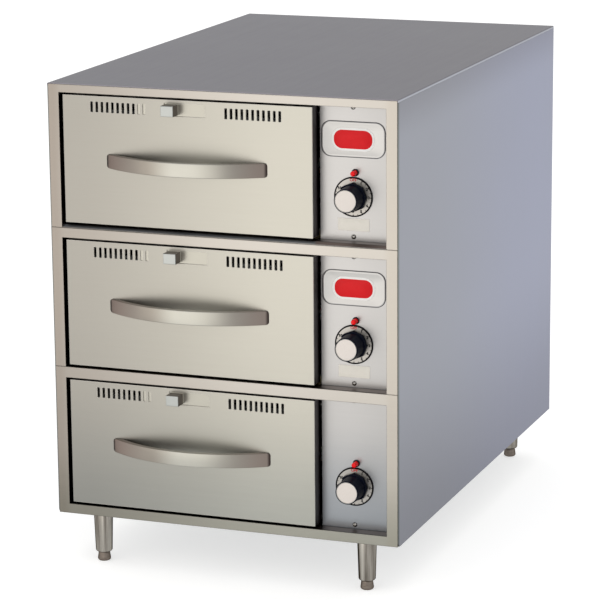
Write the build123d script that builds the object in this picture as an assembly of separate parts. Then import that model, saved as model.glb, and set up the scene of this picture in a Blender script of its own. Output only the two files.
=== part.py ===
from build123d import *
import math
import os

# A warming drawer: a free-standing steel cabinet on four legs, with three stacked heated drawers.
# Each drawer has a bowed handle, a vent slide and a lift-out pan, and rolls on its own rollers.
# A column of control panels on the right holds a thermostat, a dial and a pilot lamp per drawer.
# The sizes below are millimetres. They are measured from the cabinet's front bottom edge:
# X across from the middle, Y backwards from the front face, Z up from the cabinet's bottom.

# Cabinet
CABINET_W = 520.0
CABINET_D = 775.0
SHEET = 1.2
GAP = 0.2
TOP_LIP = 3.6
TOP_EDGE_R = 2.0
SIDE_SETBACK = 0.8
SIDE_CORNER_R = 5.0
REAR_FLANGE = 14.0
BOTTOM_FOLD = 12.0
OPENING_H = 189.0
BOTTOM_RAIL = 14.0
LOWER_RAIL = 16.0
UPPER_RAIL = 19.0
TOP_RAIL = 13.0
STILE_W = 17.5
FACE = 1.5
FACE_FOLD = 14.0
RECESS = 22.0
STRIP = 4.5
SEAM = 0.3

# Tiers, from the bottom up: where each opening starts
FLOORS = {
    "bottom": BOTTOM_RAIL,
    "middle": BOTTOM_RAIL + OPENING_H + LOWER_RAIL,
    "top": BOTTOM_RAIL + 2 * OPENING_H + LOWER_RAIL + UPPER_RAIL,
}
CABINET_H = BOTTOM_RAIL + LOWER_RAIL + UPPER_RAIL + TOP_RAIL + 3 * OPENING_H
OPENING_LEFT = -CABINET_W / 2 + STILE_W
OPENING_RIGHT = CABINET_W / 2 - STILE_W
INSIDE = CABINET_W / 2 - SHEET - GAP

# Back panel
LOUVRE_X = 190.0
LOUVRE_W = 70.0
LOUVRE_H = 5.0
LOUVRE_LEVELS = (70.0, 82.0, 94.0, 106.0, 118.0)
REAR_SCREW_X = 251.0
REAR_SCREW_LEVELS = (40.0, 175.0, 310.0, 445.0, 590.0)

# Drawer fronts
DRAWER_W = 373.0
DRAWER_H = 182.2
DRAWER_X = -50.0
DRAWER_LIFT = 4.0
FRONT_DEPTH = 25.0
FRONT_EDGE_R = 0.8
SLOT_W = 4.2
SLOT_H = 15.0
SLOT_END_R = 0.9
SLOT_PITCH = 7.95
SLOTS = 11
SLOTS_LEFT = 44.3
SLOTS_RIGHT = 246.2
SLOTS_DROP = 15.3
COVERED_SLOTS = 2
DRAWER_LEFT = DRAWER_X - DRAWER_W / 2
DRAWER_RIGHT = DRAWER_X + DRAWER_W / 2

# Vent slide
SLIDE_H = 22.0
SLIDE_T = 1.0
SLIDE_SLOT_W = 3.7
SLIDE_START = 3.0
SLIDE_END = 335.0
SLIDE_PLAY = 0.3
GUIDE_T = 1.0
GUIDE_LIP = 2.0
TAB_LEFT = 156.1
TAB_W = 18.6
TAB_H = 14.8
TAB_DROP = 13.6
TAB_OUT = 17.5
TAB_R = 0.8
WINDOW_LEFT = 154.5
WINDOW_W = 61.0
WINDOW_H = 18.3

# Handle: two arcs in plan, and a flat bar with rounded corners from the front
HANDLE_L = 241.0
HANDLE_BOW = 38.0
HANDLE_H = 20.0
HANDLE_FOOT = 14.5
HANDLE_T = 7.0
HANDLE_END_R = 4.5
HANDLE_EDGE_R = 1.2

# Drawer carriage, tracks and rollers, measured outwards from the drawer's middle
RIM_LEVEL = 140.0
WEB_T = 1.5
WEB_IN = 170.0
WEB_BOTTOM = 84.0
SHELF_IN = 157.0
RUNNER_OUT = 184.0
RUNNER_LEVEL = 110.8
CARRIAGE_BACK = 592.0
REAR_SHELF = 43.0
TRACK_OUT = 193.0
TRACK_IN = 179.0
TRACK_FRONT = 58.0
TRACK_BACK = 640.0
ROLLER_R = 11.5
ROLLER_W = 7.5
ROLLER_EDGE_R = 0.8
ROLLER_BORE = 4.06
ROLLER_PLAY = 0.3
AXLE_R = 4.0
AXLE_END = 1.5
FIXED_ROLLER_Y = 42.0
FIXED_ROLLER_IN = 174.3
MOVING_ROLLER_Y = 578.0
MOVING_ROLLER_IN = 180.0
MOVING_ROLLER_LEVEL = 96.0

# Pan: a full-size food pan that hangs by its rim
PAN_L = 530.0
PAN_W = 325.0
PAN_CORNER_R = 22.0
PAN_BODY_L = 506.0
PAN_BODY_W = 301.0
PAN_BODY_R = 38.0
PAN_FLOOR_R = 28.0
PAN_TAPER = 12.0
PAN_DEPTH = 100.0
PAN_T = 1.0
PAN_BEND_R = 9.0
PAN_FRONT = 31.0

# Drawer tunnel
TUNNEL_W = 386.0
TUNNEL_H = 162.0
TUNNEL_FRONT = 27.5
TUNNEL_BACK = 645.0
TUNNEL_LIFT = 12.0
SADDLE_W = 12.0
BLANKET_FRONT = 40.0
BLANKET_T = 40.0
BLANKET_PLAY = 1.0

# Heating element under each pan
ELEMENT_R = 4.0
ELEMENT_LEVEL = 26.0
ELEMENT_NEAR = 150.0
ELEMENT_FAR = 450.0
ELEMENT_BEND = 60.0
ELEMENT_TIP = -125.0
ELEMENT_END = 210.0

# Control column
PANEL_T = 1.2
PANEL_LEFT = 139.5
PANEL_OVERLAP = 3.0
PANEL_FOLD = 3.6
PANEL_FACE = RECESS + GAP
CONTROL_X = 187.8
DIAL_LEVEL = 61.4
LAMP_LEVEL = 95.3
LAMP_X = 190.5
BADGE_LEVEL = 141.0
BADGE_W = 93.0
BADGE_H = 50.0
BADGE_R = 14.0
BADGE_T = 1.2
FIELD_W = 62.0
FIELD_H = 32.0
FIELD_R = 15.0
PLATE_LEVEL = 22.5
PLATE_W = 46.0
PLATE_H = 17.5
PLATE_R = 1.5
PLATE_T = 0.5
PANEL_SCREWS = (5.5, 185.5)
SCREW_R = 3.4
SCREW_HEAD = 2.5
SCREW_SHANK_R = 1.8
SCREW_HOLE_R = 1.9
SCREW_L = 9.0

# Dial, knob and thermostat
DIAL_R = 28.0
DIAL_T = 1.6
BUSH_R = 5.8
SHAFT_R = 3.0
SHAFT_BORE = 3.06
SHAFT_START = 8.0
SHAFT_DEPTH = 12.0
BORE_DEPTH = 14.0
SKIRT_R = 20.6
SKIRT_SIDES = 8
SKIRT_T = 5.0
KNOB_R = 17.4
KNOB_TIP_R = 16.7
KNOB_GAP = 0.8
KNOB_D = 32.0
CAP_R = 15.4
CAP_T = 1.0
THERMOSTAT_W = 38.0
THERMOSTAT_D = 24.0
THERMOSTAT_R = 3.0
TERMINAL_OUT = 9.0
DIAL_FACE = PANEL_FACE - DIAL_T
THERMOSTAT_BACK = PANEL_FACE + PANEL_T + THERMOSTAT_D

# Pilot lamp
LENS_R = 3.6
LENS_OUT = 12.5
LENS_IN = 12.0
LENS_TIP_R = 1.6
BEZEL_R = 5.2
BEZEL_T = 2.0
SOCKET_R = 4.6
SOCKET_IN = 20.0

# Thermostat bulb and its thin tube
BULB_R = 3.5
BULB_L = 80.0
CAPILLARY_R = 1.2
CAPILLARY_BEND = 14.0
CAPILLARY_RUN = 40.0
BULB_LIFT = 10.0

# Legs and feet
LEG_X = 203.0
LEG_FRONT = 30.0
LEG_REAR = 742.0
LEG_TOP_R = 14.0
LEG_LOW_R = 12.25
LEG_L = 62.0
LEG_BEVEL = 3.0
STUD_R = 4.0
STUD_HOLE_R = 4.1
STUD_L = 10.0
STEM_R = 6.0
STEM_BORE = 6.06
STEM_TOP = 26.0
STEM_ROOM = 22.0
FOOT_NECK_R = 8.2
FOOT_R = 9.6
FOOT_SOLE_R = 6.0
FOOT_H = 13.6
FOOT_GAP = 0.4
LEG_H = LEG_L + FOOT_GAP + FOOT_H

# Rear fittings
GLAND_X = 200.0
GLAND_Z = 60.0
GLAND_BORE = 5.5
GLAND_BODY_R = 11.0
GLAND_HOLE_R = 11.1
GLAND_COLLAR_R = 14.0
GLAND_COLLAR_T = 3.0
GLAND_NUT_R = 10.0
GLAND_IN = 10.0
GLAND_OUT = 12.0
TERMINAL_X = 200.0
TERMINAL_Y = 690.0
TERMINAL_W = 60.0
TERMINAL_D = 24.0
TERMINAL_H = 20.0
TERMINAL_RIB = 8.0
TERMINAL_RIBS = 6
HARNESS_X = 228.0
HARNESS_Z = 16.0
HARNESS_RISER = 96.0
HARNESS_R = 4.0
HARNESS_BEND = 30.0
BRANCH_R = 2.5
BRANCH_BEND = 18.0
BRANCH_DROP = 14.0

# The part's origin is the middle of its floor outline, under the whole reach from handle to gland.
ORIGIN_Y = (CABINET_D + GLAND_OUT - HANDLE_BOW) / 2


def block(x0, x1, y0, y1, z0, z1):
    """A box between two corners."""
    middle = ((x0 + x1) / 2, (y0 + y1) / 2, (z0 + z1) / 2)
    return Pos(*middle) * Box(x1 - x0, y1 - y0, z1 - z0)


def rod(radius, x, z, y0, y1):
    """A round bar along Y."""
    return Pos(x, (y0 + y1) / 2, z) * Rot(X=90) * Cylinder(radius, y1 - y0)


def axle(radius, x0, x1, y, z):
    """A round bar along X."""
    return Pos((x0 + x1) / 2, y, z) * Rot(Y=90) * Cylinder(radius, x1 - x0)


def facing(outline, x, z, y0, y1):
    """A flat outline, drawn as seen from the front, filled from y0 back to y1."""
    plane = Plane(origin=(x, y0, z), x_dir=(1, 0, 0), z_dir=(0, -1, 0))
    return extrude(plane * outline, amount=y0 - y1)


def turned(points, *curves):
    """A round piece about the Z axis, from half of its outline."""
    outline = Polyline(*points)
    for curve in curves:
        outline += curve
    return revolve(Plane.XZ * make_face(outline), Axis.Z)


def keep(node, *shapes):
    """Write one node, moved from the cabinet's front bottom edge to the part's origin."""
    solids = [Pos(0, -ORIGIN_Y, LEG_H) * solid for shape in shapes for solid in shape.solids()]
    export_step(solids[0] if len(solids) == 1 else Compound(solids), f"parts/{node}.step")


def sides(shape):
    """A shape on the drawer's right side, and its mirror image on the left."""
    return [Pos(DRAWER_X, 0, 0) * shape, Pos(DRAWER_X, 0, 0) * mirror(shape, Plane.YZ)]


def top_panel():
    """The top sheet, with its two long edges folded down over the sides."""
    half = CABINET_W / 2
    top = block(-half, half, 0, CABINET_D, CABINET_H - TOP_LIP, CABINET_H)
    long_edges = top.edges().filter_by(Axis.Y).group_by(Axis.Z)[-1]
    top = fillet(long_edges, TOP_EDGE_R)
    under = half - SHEET
    keep("top_panel", top - block(-under, under, 0, CABINET_D, CABINET_H - TOP_LIP, CABINET_H - SHEET))


def side_panels():
    """Two side sheets, each with a flange turned in at the back for the back panel's screws."""
    half = CABINET_W / 2
    high = CABINET_H - TOP_LIP - GAP
    skin = block(half - SHEET, half, SIDE_SETBACK, CABINET_D, 0, high)
    corner = skin.edges().filter_by(Axis.X).sort_by(lambda edge: edge.center().Y + edge.center().Z)[0]
    skin = fillet(corner, SIDE_CORNER_R)
    back = CABINET_D - SHEET - GAP
    panel = skin + block(half - SHEET - REAR_FLANGE, half - SHEET, back - SHEET, back, 2, high - 2)
    for z in REAR_SCREW_LEVELS:
        panel -= rod(SCREW_HOLE_R, REAR_SCREW_X, z, back - 2, back + 1)
    keep("side_panel_right", panel)
    keep("side_panel_left", mirror(panel, Plane.YZ))


def back_panel():
    """The back sheet, with a vent field behind each control and a hole for the cord gland."""
    back = block(-INSIDE, INSIDE, CABINET_D - SHEET, CABINET_D, 2, CABINET_H - SHEET - GAP)
    before, behind = CABINET_D - 2, CABINET_D + 1
    louvre = SlotOverall(LOUVRE_W, LOUVRE_H)
    for floor in FLOORS.values():
        for level in LOUVRE_LEVELS:
            back -= facing(louvre, LOUVRE_X, floor + level, before, behind)
    back -= rod(GLAND_HOLE_R, GLAND_X, GLAND_Z, before, behind)
    for x, z in rear_screws():
        back -= rod(SCREW_HOLE_R, x, z, before, behind)
    keep("back_panel", back)


def rear_screws():
    """Where the back panel is screwed on."""
    return [(x, z) for x in (-REAR_SCREW_X, REAR_SCREW_X) for z in REAR_SCREW_LEVELS]


def bottom_panel():
    """The floor sheet, stiffened by two folds, with holes for the legs' studs."""
    deep = CABINET_D - 2 * SHEET - 2 * GAP
    bottom = block(-INSIDE, INSIDE, FACE + GAP, deep, 0, SHEET)
    for x in (-INSIDE, INSIDE - SHEET):
        bottom += block(x, x + SHEET, RECESS, deep - REAR_FLANGE, 0, BOTTOM_FOLD)
    for x, y in leg_places():
        bottom -= Pos(x, y, 0) * Cylinder(STUD_HOLE_R, STUD_L)
    keep("bottom_panel", bottom)


def leg_places():
    """The four leg centres."""
    return [(x, y) for y in (LEG_FRONT, LEG_REAR) for x in (-LEG_X, LEG_X)]


def tier_frame(tier, low, high):
    """One tier of the face frame: a front plate round the opening, with a lip turned back inside."""
    floor = FLOORS[tier]
    roof = floor + OPENING_H
    plate = block(-INSIDE, INSIDE, 0, FACE, low, high)
    lip = block(OPENING_LEFT - SHEET, OPENING_RIGHT + SHEET, 0, RECESS, floor - SHEET, roof + SHEET)
    frame = plate + lip - block(OPENING_LEFT, OPENING_RIGHT, -1, RECESS + 1, floor, roof)
    frame -= block(-INSIDE, INSIDE, -1, FACE + GAP, low - SHEET, low)
    fold_low = max(low, SHEET + GAP)
    for x in (-INSIDE, INSIDE - SHEET):
        frame += block(x, x + SHEET, 0, FACE_FOLD, fold_low, high)
    if tier == "top":
        frame += block(OPENING_LEFT, OPENING_RIGHT, 0, STRIP, low, floor)
        sill = frame.edges().filter_by(Axis.X).sort_by_distance((DRAWER_X, 0, floor))[0]
        frame = chamfer(sill, STRIP - SEAM)
    keep(f"tier_frame_{tier}", frame)


def tier_frames():
    """The three frames, one above the other."""
    tier_frame("bottom", 0, FLOORS["middle"] - SEAM)
    tier_frame("middle", FLOORS["middle"], FLOORS["top"] - STRIP - SEAM)
    tier_frame("top", FLOORS["top"] - STRIP, CABINET_H - SHEET - GAP)


def drawer_tunnels():
    """The heated compartments: open at the front, with two saddles for the element in each."""
    tunnels = []
    left = DRAWER_X - TUNNEL_W / 2
    right = DRAWER_X + TUNNEL_W / 2
    for floor in FLOORS.values():
        low = floor + TUNNEL_LIFT
        high = low + TUNNEL_H
        tunnel = block(left - SHEET, right + SHEET, TUNNEL_FRONT, TUNNEL_BACK + SHEET,
                       low - SHEET, high + SHEET)
        tunnel -= block(left, right, TUNNEL_FRONT - 1, TUNNEL_BACK, low, high)
        level = floor + ELEMENT_LEVEL
        for y in (ELEMENT_NEAR, ELEMENT_FAR):
            tunnel -= axle(ELEMENT_R, right - 1, right + SHEET + 1, y, level)
            tunnel += block(DRAWER_X, DRAWER_X + SADDLE_W, y - ELEMENT_R, y + ELEMENT_R,
                            low, level - ELEMENT_R)
        tunnels.append(tunnel)
    keep("drawer_tunnels", *tunnels)


def heating_elements():
    """A tube under each pan, bent into a U, with both ends through the tunnel wall."""
    elements = []
    for floor in FLOORS.values():
        z = floor + ELEMENT_LEVEL
        start = (ELEMENT_END, ELEMENT_NEAR, z)
        bends = [(ELEMENT_TIP, ELEMENT_NEAR, z), (ELEMENT_TIP, ELEMENT_FAR, z)]
        path = FilletPolyline(start, *bends, (ELEMENT_END, ELEMENT_FAR, z), radius=ELEMENT_BEND)
        elements.append(sweep(Plane(start, z_dir=(-1, 0, 0)) * Circle(ELEMENT_R), path))
    keep("heating_elements", *elements)


def insulation_blankets():
    """Blankets beside, behind and above the tunnels."""
    left = DRAWER_X - TUNNEL_W / 2
    right = DRAWER_X + TUNNEL_W / 2
    low = SHEET + BOTTOM_FOLD
    high = CABINET_H - 2 * BOTTOM_FOLD
    side = left - SHEET - BLANKET_PLAY
    rear = TUNNEL_BACK + SHEET + BLANKET_PLAY
    blankets = [
        block(-INSIDE + SHEET + BLANKET_PLAY, side, BLANKET_FRONT, TUNNEL_BACK, low, high),
        block(left, right, rear, rear + BLANKET_T, low, high),
    ]
    ceilings = [floor + TUNNEL_LIFT - SHEET for floor in list(FLOORS.values())[1:]]
    ceilings.append(CABINET_H - SHEET - BLANKET_PLAY)
    for floor, ceiling in zip(FLOORS.values(), ceilings):
        roof = floor + TUNNEL_LIFT + TUNNEL_H + SHEET
        bottom, top = roof + BLANKET_PLAY, ceiling - BLANKET_PLAY
        blankets.append(block(left, right, BLANKET_FRONT, TUNNEL_BACK, bottom, top))
    keep("insulation_blankets", *blankets)


def slide_tracks():
    """Channels on the tunnel walls, each with the stub axle of its front roller."""
    tracks = []
    for floor in FLOORS.values():
        bottom = floor + MOVING_ROLLER_LEVEL - ROLLER_R - ROLLER_PLAY
        top = floor + MOVING_ROLLER_LEVEL + ROLLER_R + 2 * ROLLER_PLAY
        track = block(TRACK_OUT - WEB_T, TRACK_OUT, TUNNEL_FRONT + 1, TRACK_BACK, bottom - WEB_T, top + WEB_T)
        for z in (bottom - WEB_T, top):
            track += block(TRACK_IN, TRACK_OUT, TRACK_FRONT, TRACK_BACK, z, z + WEB_T)
        level = fixed_roller_level(floor)
        track += axle(AXLE_R, FIXED_ROLLER_IN - AXLE_END, TRACK_OUT, FIXED_ROLLER_Y, level)
        tracks += sides(track)
    keep("slide_tracks", *tracks)


def fixed_roller_level(floor):
    """The height of the front rollers' axle, under the drawer's runners."""
    return floor + RUNNER_LEVEL - ROLLER_PLAY - ROLLER_R


def roller(x0, y, z):
    """A nylon roller with rounded edges and a bore."""
    wheel = axle(ROLLER_R, x0, x0 + ROLLER_W, y, z)
    wheel = fillet(wheel.edges().filter_by(GeomType.CIRCLE), ROLLER_EDGE_R)
    return wheel - axle(ROLLER_BORE, x0 - 1, x0 + ROLLER_W + 1, y, z)


def control_panels():
    """One sheet beside each drawer, pierced for the thermostat's bush, the lamp and two screws."""
    panels = []
    behind = PANEL_FACE + PANEL_T
    for floor in FLOORS.values():
        low, high = floor - PANEL_OVERLAP, floor + OPENING_H + PANEL_OVERLAP
        panel = block(PANEL_LEFT, OPENING_RIGHT + PANEL_OVERLAP, PANEL_FACE, behind, low, high)
        panel += block(PANEL_LEFT, PANEL_LEFT + PANEL_T, PANEL_FACE, PANEL_FACE + PANEL_FOLD, low, high)
        panel -= rod(BUSH_R, CONTROL_X, floor + DIAL_LEVEL, PANEL_FACE - 1, behind + 1)
        panel -= rod(SOCKET_R, LAMP_X, floor + LAMP_LEVEL, PANEL_FACE - 1, behind + 1)
        for level in PANEL_SCREWS:
            panel -= rod(SCREW_HOLE_R, CONTROL_X, floor + level, PANEL_FACE - 1, behind + 1)
        panels.append(panel)
    keep("control_panels", *panels)


def badges():
    """The upper two panels carry a framed badge and a small plate, both left blank."""
    frames, fields, plates = [], [], []
    outline = RectangleRounded(BADGE_W, BADGE_H, BADGE_R)
    inlay = RectangleRounded(FIELD_W, FIELD_H, FIELD_R)
    plate = RectangleRounded(PLATE_W, PLATE_H, PLATE_R)
    front = PANEL_FACE - BADGE_T
    for floor in (FLOORS["middle"], FLOORS["top"]):
        z = floor + BADGE_LEVEL
        field = facing(inlay, CONTROL_X, z, front, PANEL_FACE - BADGE_T / 2)
        frame = facing(outline, CONTROL_X, z, front, PANEL_FACE)
        frames.append(frame - field)
        fields.append(field)
        plates.append(facing(plate, CONTROL_X, floor + PLATE_LEVEL, PANEL_FACE - PLATE_T, PANEL_FACE))
    keep("badge_frames", *frames)
    keep("badge_fields", *fields)
    keep("blank_plates", *plates)


def dial_rings():
    """The flat round dial behind each knob."""
    rings = []
    for floor in FLOORS.values():
        z = floor + DIAL_LEVEL
        ring = rod(DIAL_R, CONTROL_X, z, DIAL_FACE, PANEL_FACE)
        rings.append(ring - rod(BUSH_R, CONTROL_X, z, DIAL_FACE - 1, PANEL_FACE + 1))
    keep("dial_rings", *rings)


def thermostats():
    """A switch body behind each panel, with a bush for the shaft and two terminal blades."""
    switches = []
    half = THERMOSTAT_W / 2
    front = PANEL_FACE + PANEL_T
    for floor in FLOORS.values():
        z = floor + DIAL_LEVEL
        switch = block(CONTROL_X - half, CONTROL_X + half, front, THERMOSTAT_BACK, z - half, z + half)
        switch = fillet(switch.edges().filter_by(Axis.Y), THERMOSTAT_R)
        switch += rod(BUSH_R, CONTROL_X, z, DIAL_FACE, front)
        for x in (CONTROL_X - half / 2, CONTROL_X + half / 2):
            switch += block(x - 3, x + 3, THERMOSTAT_BACK, THERMOSTAT_BACK + TERMINAL_OUT, z - 0.5, z + 0.5)
        switches.append(switch - rod(SHAFT_BORE, CONTROL_X, z, DIAL_FACE - 1, front + BORE_DEPTH))
    keep("thermostats", *switches)


def thermostat_bulbs():
    """The sensing bulb on each tunnel's wall, with the thin tube that joins it to the switch."""
    bulbs = []
    wall = DRAWER_X + TUNNEL_W / 2 + SHEET + BULB_R
    turn = THERMOSTAT_BACK + CAPILLARY_RUN
    for floor in FLOORS.values():
        z = floor + DIAL_LEVEL + BULB_LIFT
        start = (CONTROL_X, THERMOSTAT_BACK, z)
        end = (wall, turn + CAPILLARY_RUN, z)
        path = FilletPolyline(start, (CONTROL_X, turn, z), (wall, turn, z), end, radius=CAPILLARY_BEND)
        tube = sweep(Plane(start, z_dir=(0, 1, 0)) * Circle(CAPILLARY_R), path)
        bulbs.append(tube + rod(BULB_R, wall, z, end[1] - CAPILLARY_R, end[1] + BULB_L))
    keep("thermostat_bulbs", *bulbs)


def pilot_lamps():
    """A dark bezel and socket in each panel, with a clear coloured lens that stands out of it."""
    bodies, lenses = [], []
    for floor in FLOORS.values():
        z = floor + LAMP_LEVEL
        body = rod(BEZEL_R, LAMP_X, z, PANEL_FACE - BEZEL_T, PANEL_FACE)
        body += rod(SOCKET_R, LAMP_X, z, PANEL_FACE, PANEL_FACE + SOCKET_IN)
        bodies.append(body - rod(LENS_R, LAMP_X, z, PANEL_FACE - BEZEL_T - 1, PANEL_FACE + LENS_IN))
        lens = rod(LENS_R, LAMP_X, z, PANEL_FACE - LENS_OUT, PANEL_FACE + LENS_IN)
        tip = lens.edges().filter_by(GeomType.CIRCLE).sort_by(Axis.Y)[0]
        lenses.append(fillet(tip, LENS_TIP_R))
    keep("pilot_lamp_bodies", *bodies)
    keep("pilot_lamp_lenses", *lenses)


def knob(tier, floor):
    """A plastic knob with an eight-sided skirt, its metal cap and the shaft it turns."""
    z = floor + DIAL_LEVEL
    base = DIAL_FACE - KNOB_GAP
    collar = base - SKIRT_T
    tip = base - KNOB_D
    grip_l = collar - tip
    skirt = facing(RegularPolygon(SKIRT_R, SKIRT_SIDES), CONTROL_X, z, collar, base)
    taper = math.degrees(math.atan((KNOB_R - KNOB_TIP_R) / grip_l))
    plane = Plane(origin=(CONTROL_X, collar, z), x_dir=(1, 0, 0), z_dir=(0, -1, 0))
    body = skirt + extrude(plane * Circle(KNOB_R), amount=grip_l, taper=taper)
    body -= rod(CAP_R, CONTROL_X, z, tip - 1, tip + CAP_T)
    body -= rod(SHAFT_R, CONTROL_X, z, tip + SHAFT_START, base + 1)
    keep(f"knob_{tier}", body)
    keep(f"knob_cap_{tier}", rod(CAP_R, CONTROL_X, z, tip, tip + CAP_T))
    shaft = rod(SHAFT_R, CONTROL_X, z, tip + SHAFT_START, PANEL_FACE + PANEL_T + SHAFT_DEPTH)
    keep(f"knob_shaft_{tier}", shaft)


def dome_screw(x, y, z, outwards):
    """A dome-head screw: the head stands out from y, and the shank goes the other way."""
    head = Pos(0, 0, SCREW_HEAD / 2) * Cylinder(SCREW_R, SCREW_HEAD)
    head = fillet(head.edges().filter_by(GeomType.CIRCLE).sort_by(Axis.Z)[-1], SCREW_HEAD * 0.8)
    screw = head + Pos(0, 0, -SCREW_L / 2) * Cylinder(SCREW_SHANK_R, SCREW_L)
    return Pos(x, y, z) * Rot(X=-90 * outwards) * screw


def panel_screws():
    """The screws of the control panels and of the back panel."""
    front = [dome_screw(CONTROL_X, PANEL_FACE, floor + level, -1)
             for floor in FLOORS.values() for level in PANEL_SCREWS]
    rear = [dome_screw(x, CABINET_D, z, 1) for x, z in rear_screws()]
    keep("panel_screws", *front, *rear)


def drawer_front(tier, floor):
    """The drawer's outer skin, with its vent slots, its slide window and two guides."""
    low = floor + DRAWER_LIFT
    high = low + DRAWER_H
    skin = block(DRAWER_LEFT, DRAWER_RIGHT, 0, FRONT_DEPTH, low, high)
    skin = fillet(skin.edges().filter_by(Axis.Z).group_by(Axis.Y)[0], FRONT_EDGE_R)
    inner_left, inner_right = DRAWER_LEFT + SHEET, DRAWER_RIGHT - SHEET
    skin -= block(inner_left, inner_right, SHEET, FRONT_DEPTH + 1, low + SHEET, high - SHEET)
    slot = RectangleRounded(SLOT_W, SLOT_H, SLOT_END_R)
    slot_z = high - SLOTS_DROP
    for start in (SLOTS_LEFT, SLOTS_RIGHT):
        for index in range(SLOTS):
            skin -= facing(slot, DRAWER_LEFT + start + index * SLOT_PITCH, slot_z, -1, SHEET + 1)
    window_x = DRAWER_LEFT + WINDOW_LEFT + WINDOW_W / 2
    skin -= facing(Rectangle(WINDOW_W, WINDOW_H), window_x, high - TAB_DROP, -1, SHEET + 1)
    channel = SHEET + SLIDE_T + 2 * GAP
    for sign in (-1, 1):
        edge = slot_z + sign * (SLIDE_H / 2 + SLIDE_PLAY)
        outer = edge + sign * GUIDE_T
        inner = edge - sign * GUIDE_LIP
        low_z, high_z = min(inner, outer), max(inner, outer)
        skin += block(inner_left, inner_right, SHEET, channel, min(edge, outer), max(edge, outer))
        skin += block(inner_left, inner_right, channel, channel + GUIDE_T, low_z, high_z)
    keep(f"drawer_front_{tier}", skin)


def vent_slide(tier, floor):
    """A slotted strip behind the skin, moved by a square tab that stands out of the window."""
    high = floor + DRAWER_LIFT + DRAWER_H
    z = high - SLOTS_DROP
    front = SHEET + GAP
    strip = block(DRAWER_LEFT + SLIDE_START, DRAWER_LEFT + SLIDE_END, front, front + SLIDE_T,
                  z - SLIDE_H / 2, z + SLIDE_H / 2)
    slot = RectangleRounded(SLIDE_SLOT_W, SLOT_H, SLOT_END_R)
    for start, count in ((SLOTS_LEFT, SLOTS - COVERED_SLOTS), (SLOTS_RIGHT, SLOTS)):
        for index in range(count):
            strip -= facing(slot, DRAWER_LEFT + start + index * SLOT_PITCH, z, 0, front + SLIDE_T + 1)
    left = DRAWER_LEFT + TAB_LEFT
    tab_z = high - TAB_DROP
    tab = block(left, left + TAB_W, -TAB_OUT, front, tab_z - TAB_H / 2, tab_z + TAB_H / 2)
    tab = fillet(tab.edges().group_by(Axis.Y)[0], TAB_R)
    keep(f"vent_slide_{tier}", strip + tab)


def drawer_handle(tier, floor):
    """A bowed bar: an outer and an inner arc in plan, with both ends flat on the drawer front."""
    half = HANDLE_L / 2
    inner = half - HANDLE_FOOT
    outline = Line((-half, 0), (-inner, 0))
    outline += ThreePointArc((-inner, 0), (0, HANDLE_T - HANDLE_BOW), (inner, 0))
    outline += Line((inner, 0), (half, 0))
    outline += ThreePointArc((half, 0), (0, -HANDLE_BOW), (-half, 0))
    bar = extrude(Plane.XY * make_face(outline), amount=HANDLE_H)
    bar = Pos(DRAWER_X, 0, floor + DRAWER_LIFT + DRAWER_H / 2 - HANDLE_H / 2) * bar
    outer_edges = bar.edges().filter_by(GeomType.CIRCLE).filter_by(lambda edge: edge.length > HANDLE_L)
    bar = fillet(outer_edges, HANDLE_EDGE_R)
    shield = RectangleRounded(HANDLE_L, HANDLE_H, HANDLE_END_R)
    bar &= facing(shield, DRAWER_X, floor + DRAWER_LIFT + DRAWER_H / 2, -HANDLE_BOW - 1, 1)
    keep(f"drawer_handle_{tier}", bar)


def drawer_carriage(tier, floor):
    """The frame that carries the pan, welded to the drawer's inner front panel."""
    rim = floor + RIM_LEVEL
    runner = floor + RUNNER_LEVEL
    front = FRONT_DEPTH + GAP
    web_out = WEB_IN + WEB_T
    side = block(WEB_IN, web_out, front, CARRIAGE_BACK, floor + WEB_BOTTOM, rim)
    side += block(SHELF_IN, web_out, front, CARRIAGE_BACK, rim - WEB_T, rim)
    side += block(WEB_IN, RUNNER_OUT, front, CARRIAGE_BACK, runner, runner + WEB_T)
    axle_end = MOVING_ROLLER_IN + ROLLER_W + AXLE_END
    side += axle(AXLE_R, WEB_IN, axle_end, MOVING_ROLLER_Y, floor + MOVING_ROLLER_LEVEL)
    left, right = sides(side)
    x0, x1 = DRAWER_X - web_out, DRAWER_X + web_out
    rear = block(x0, x1, CARRIAGE_BACK - WEB_T, CARRIAGE_BACK, floor + WEB_BOTTOM, rim)
    rear += block(x0, x1, CARRIAGE_BACK - REAR_SHELF, CARRIAGE_BACK, rim - WEB_T, rim)
    low = floor + DRAWER_LIFT
    inner = 2 * SHEET
    panel = block(DRAWER_LEFT + inner, DRAWER_RIGHT - inner, front, front + SHEET,
                  low + inner, low + DRAWER_H - inner)
    vent = Rectangle(SLOTS * SLOT_PITCH, SLOT_H)
    for start in (SLOTS_LEFT, SLOTS_RIGHT):
        x = DRAWER_LEFT + start + (SLOTS - 1) * SLOT_PITCH / 2
        panel -= facing(vent, x, low + DRAWER_H - SLOTS_DROP, front - 1, front + SHEET + 1)
    keep(f"drawer_carriage_{tier}", left + right + rear + panel)


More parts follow.
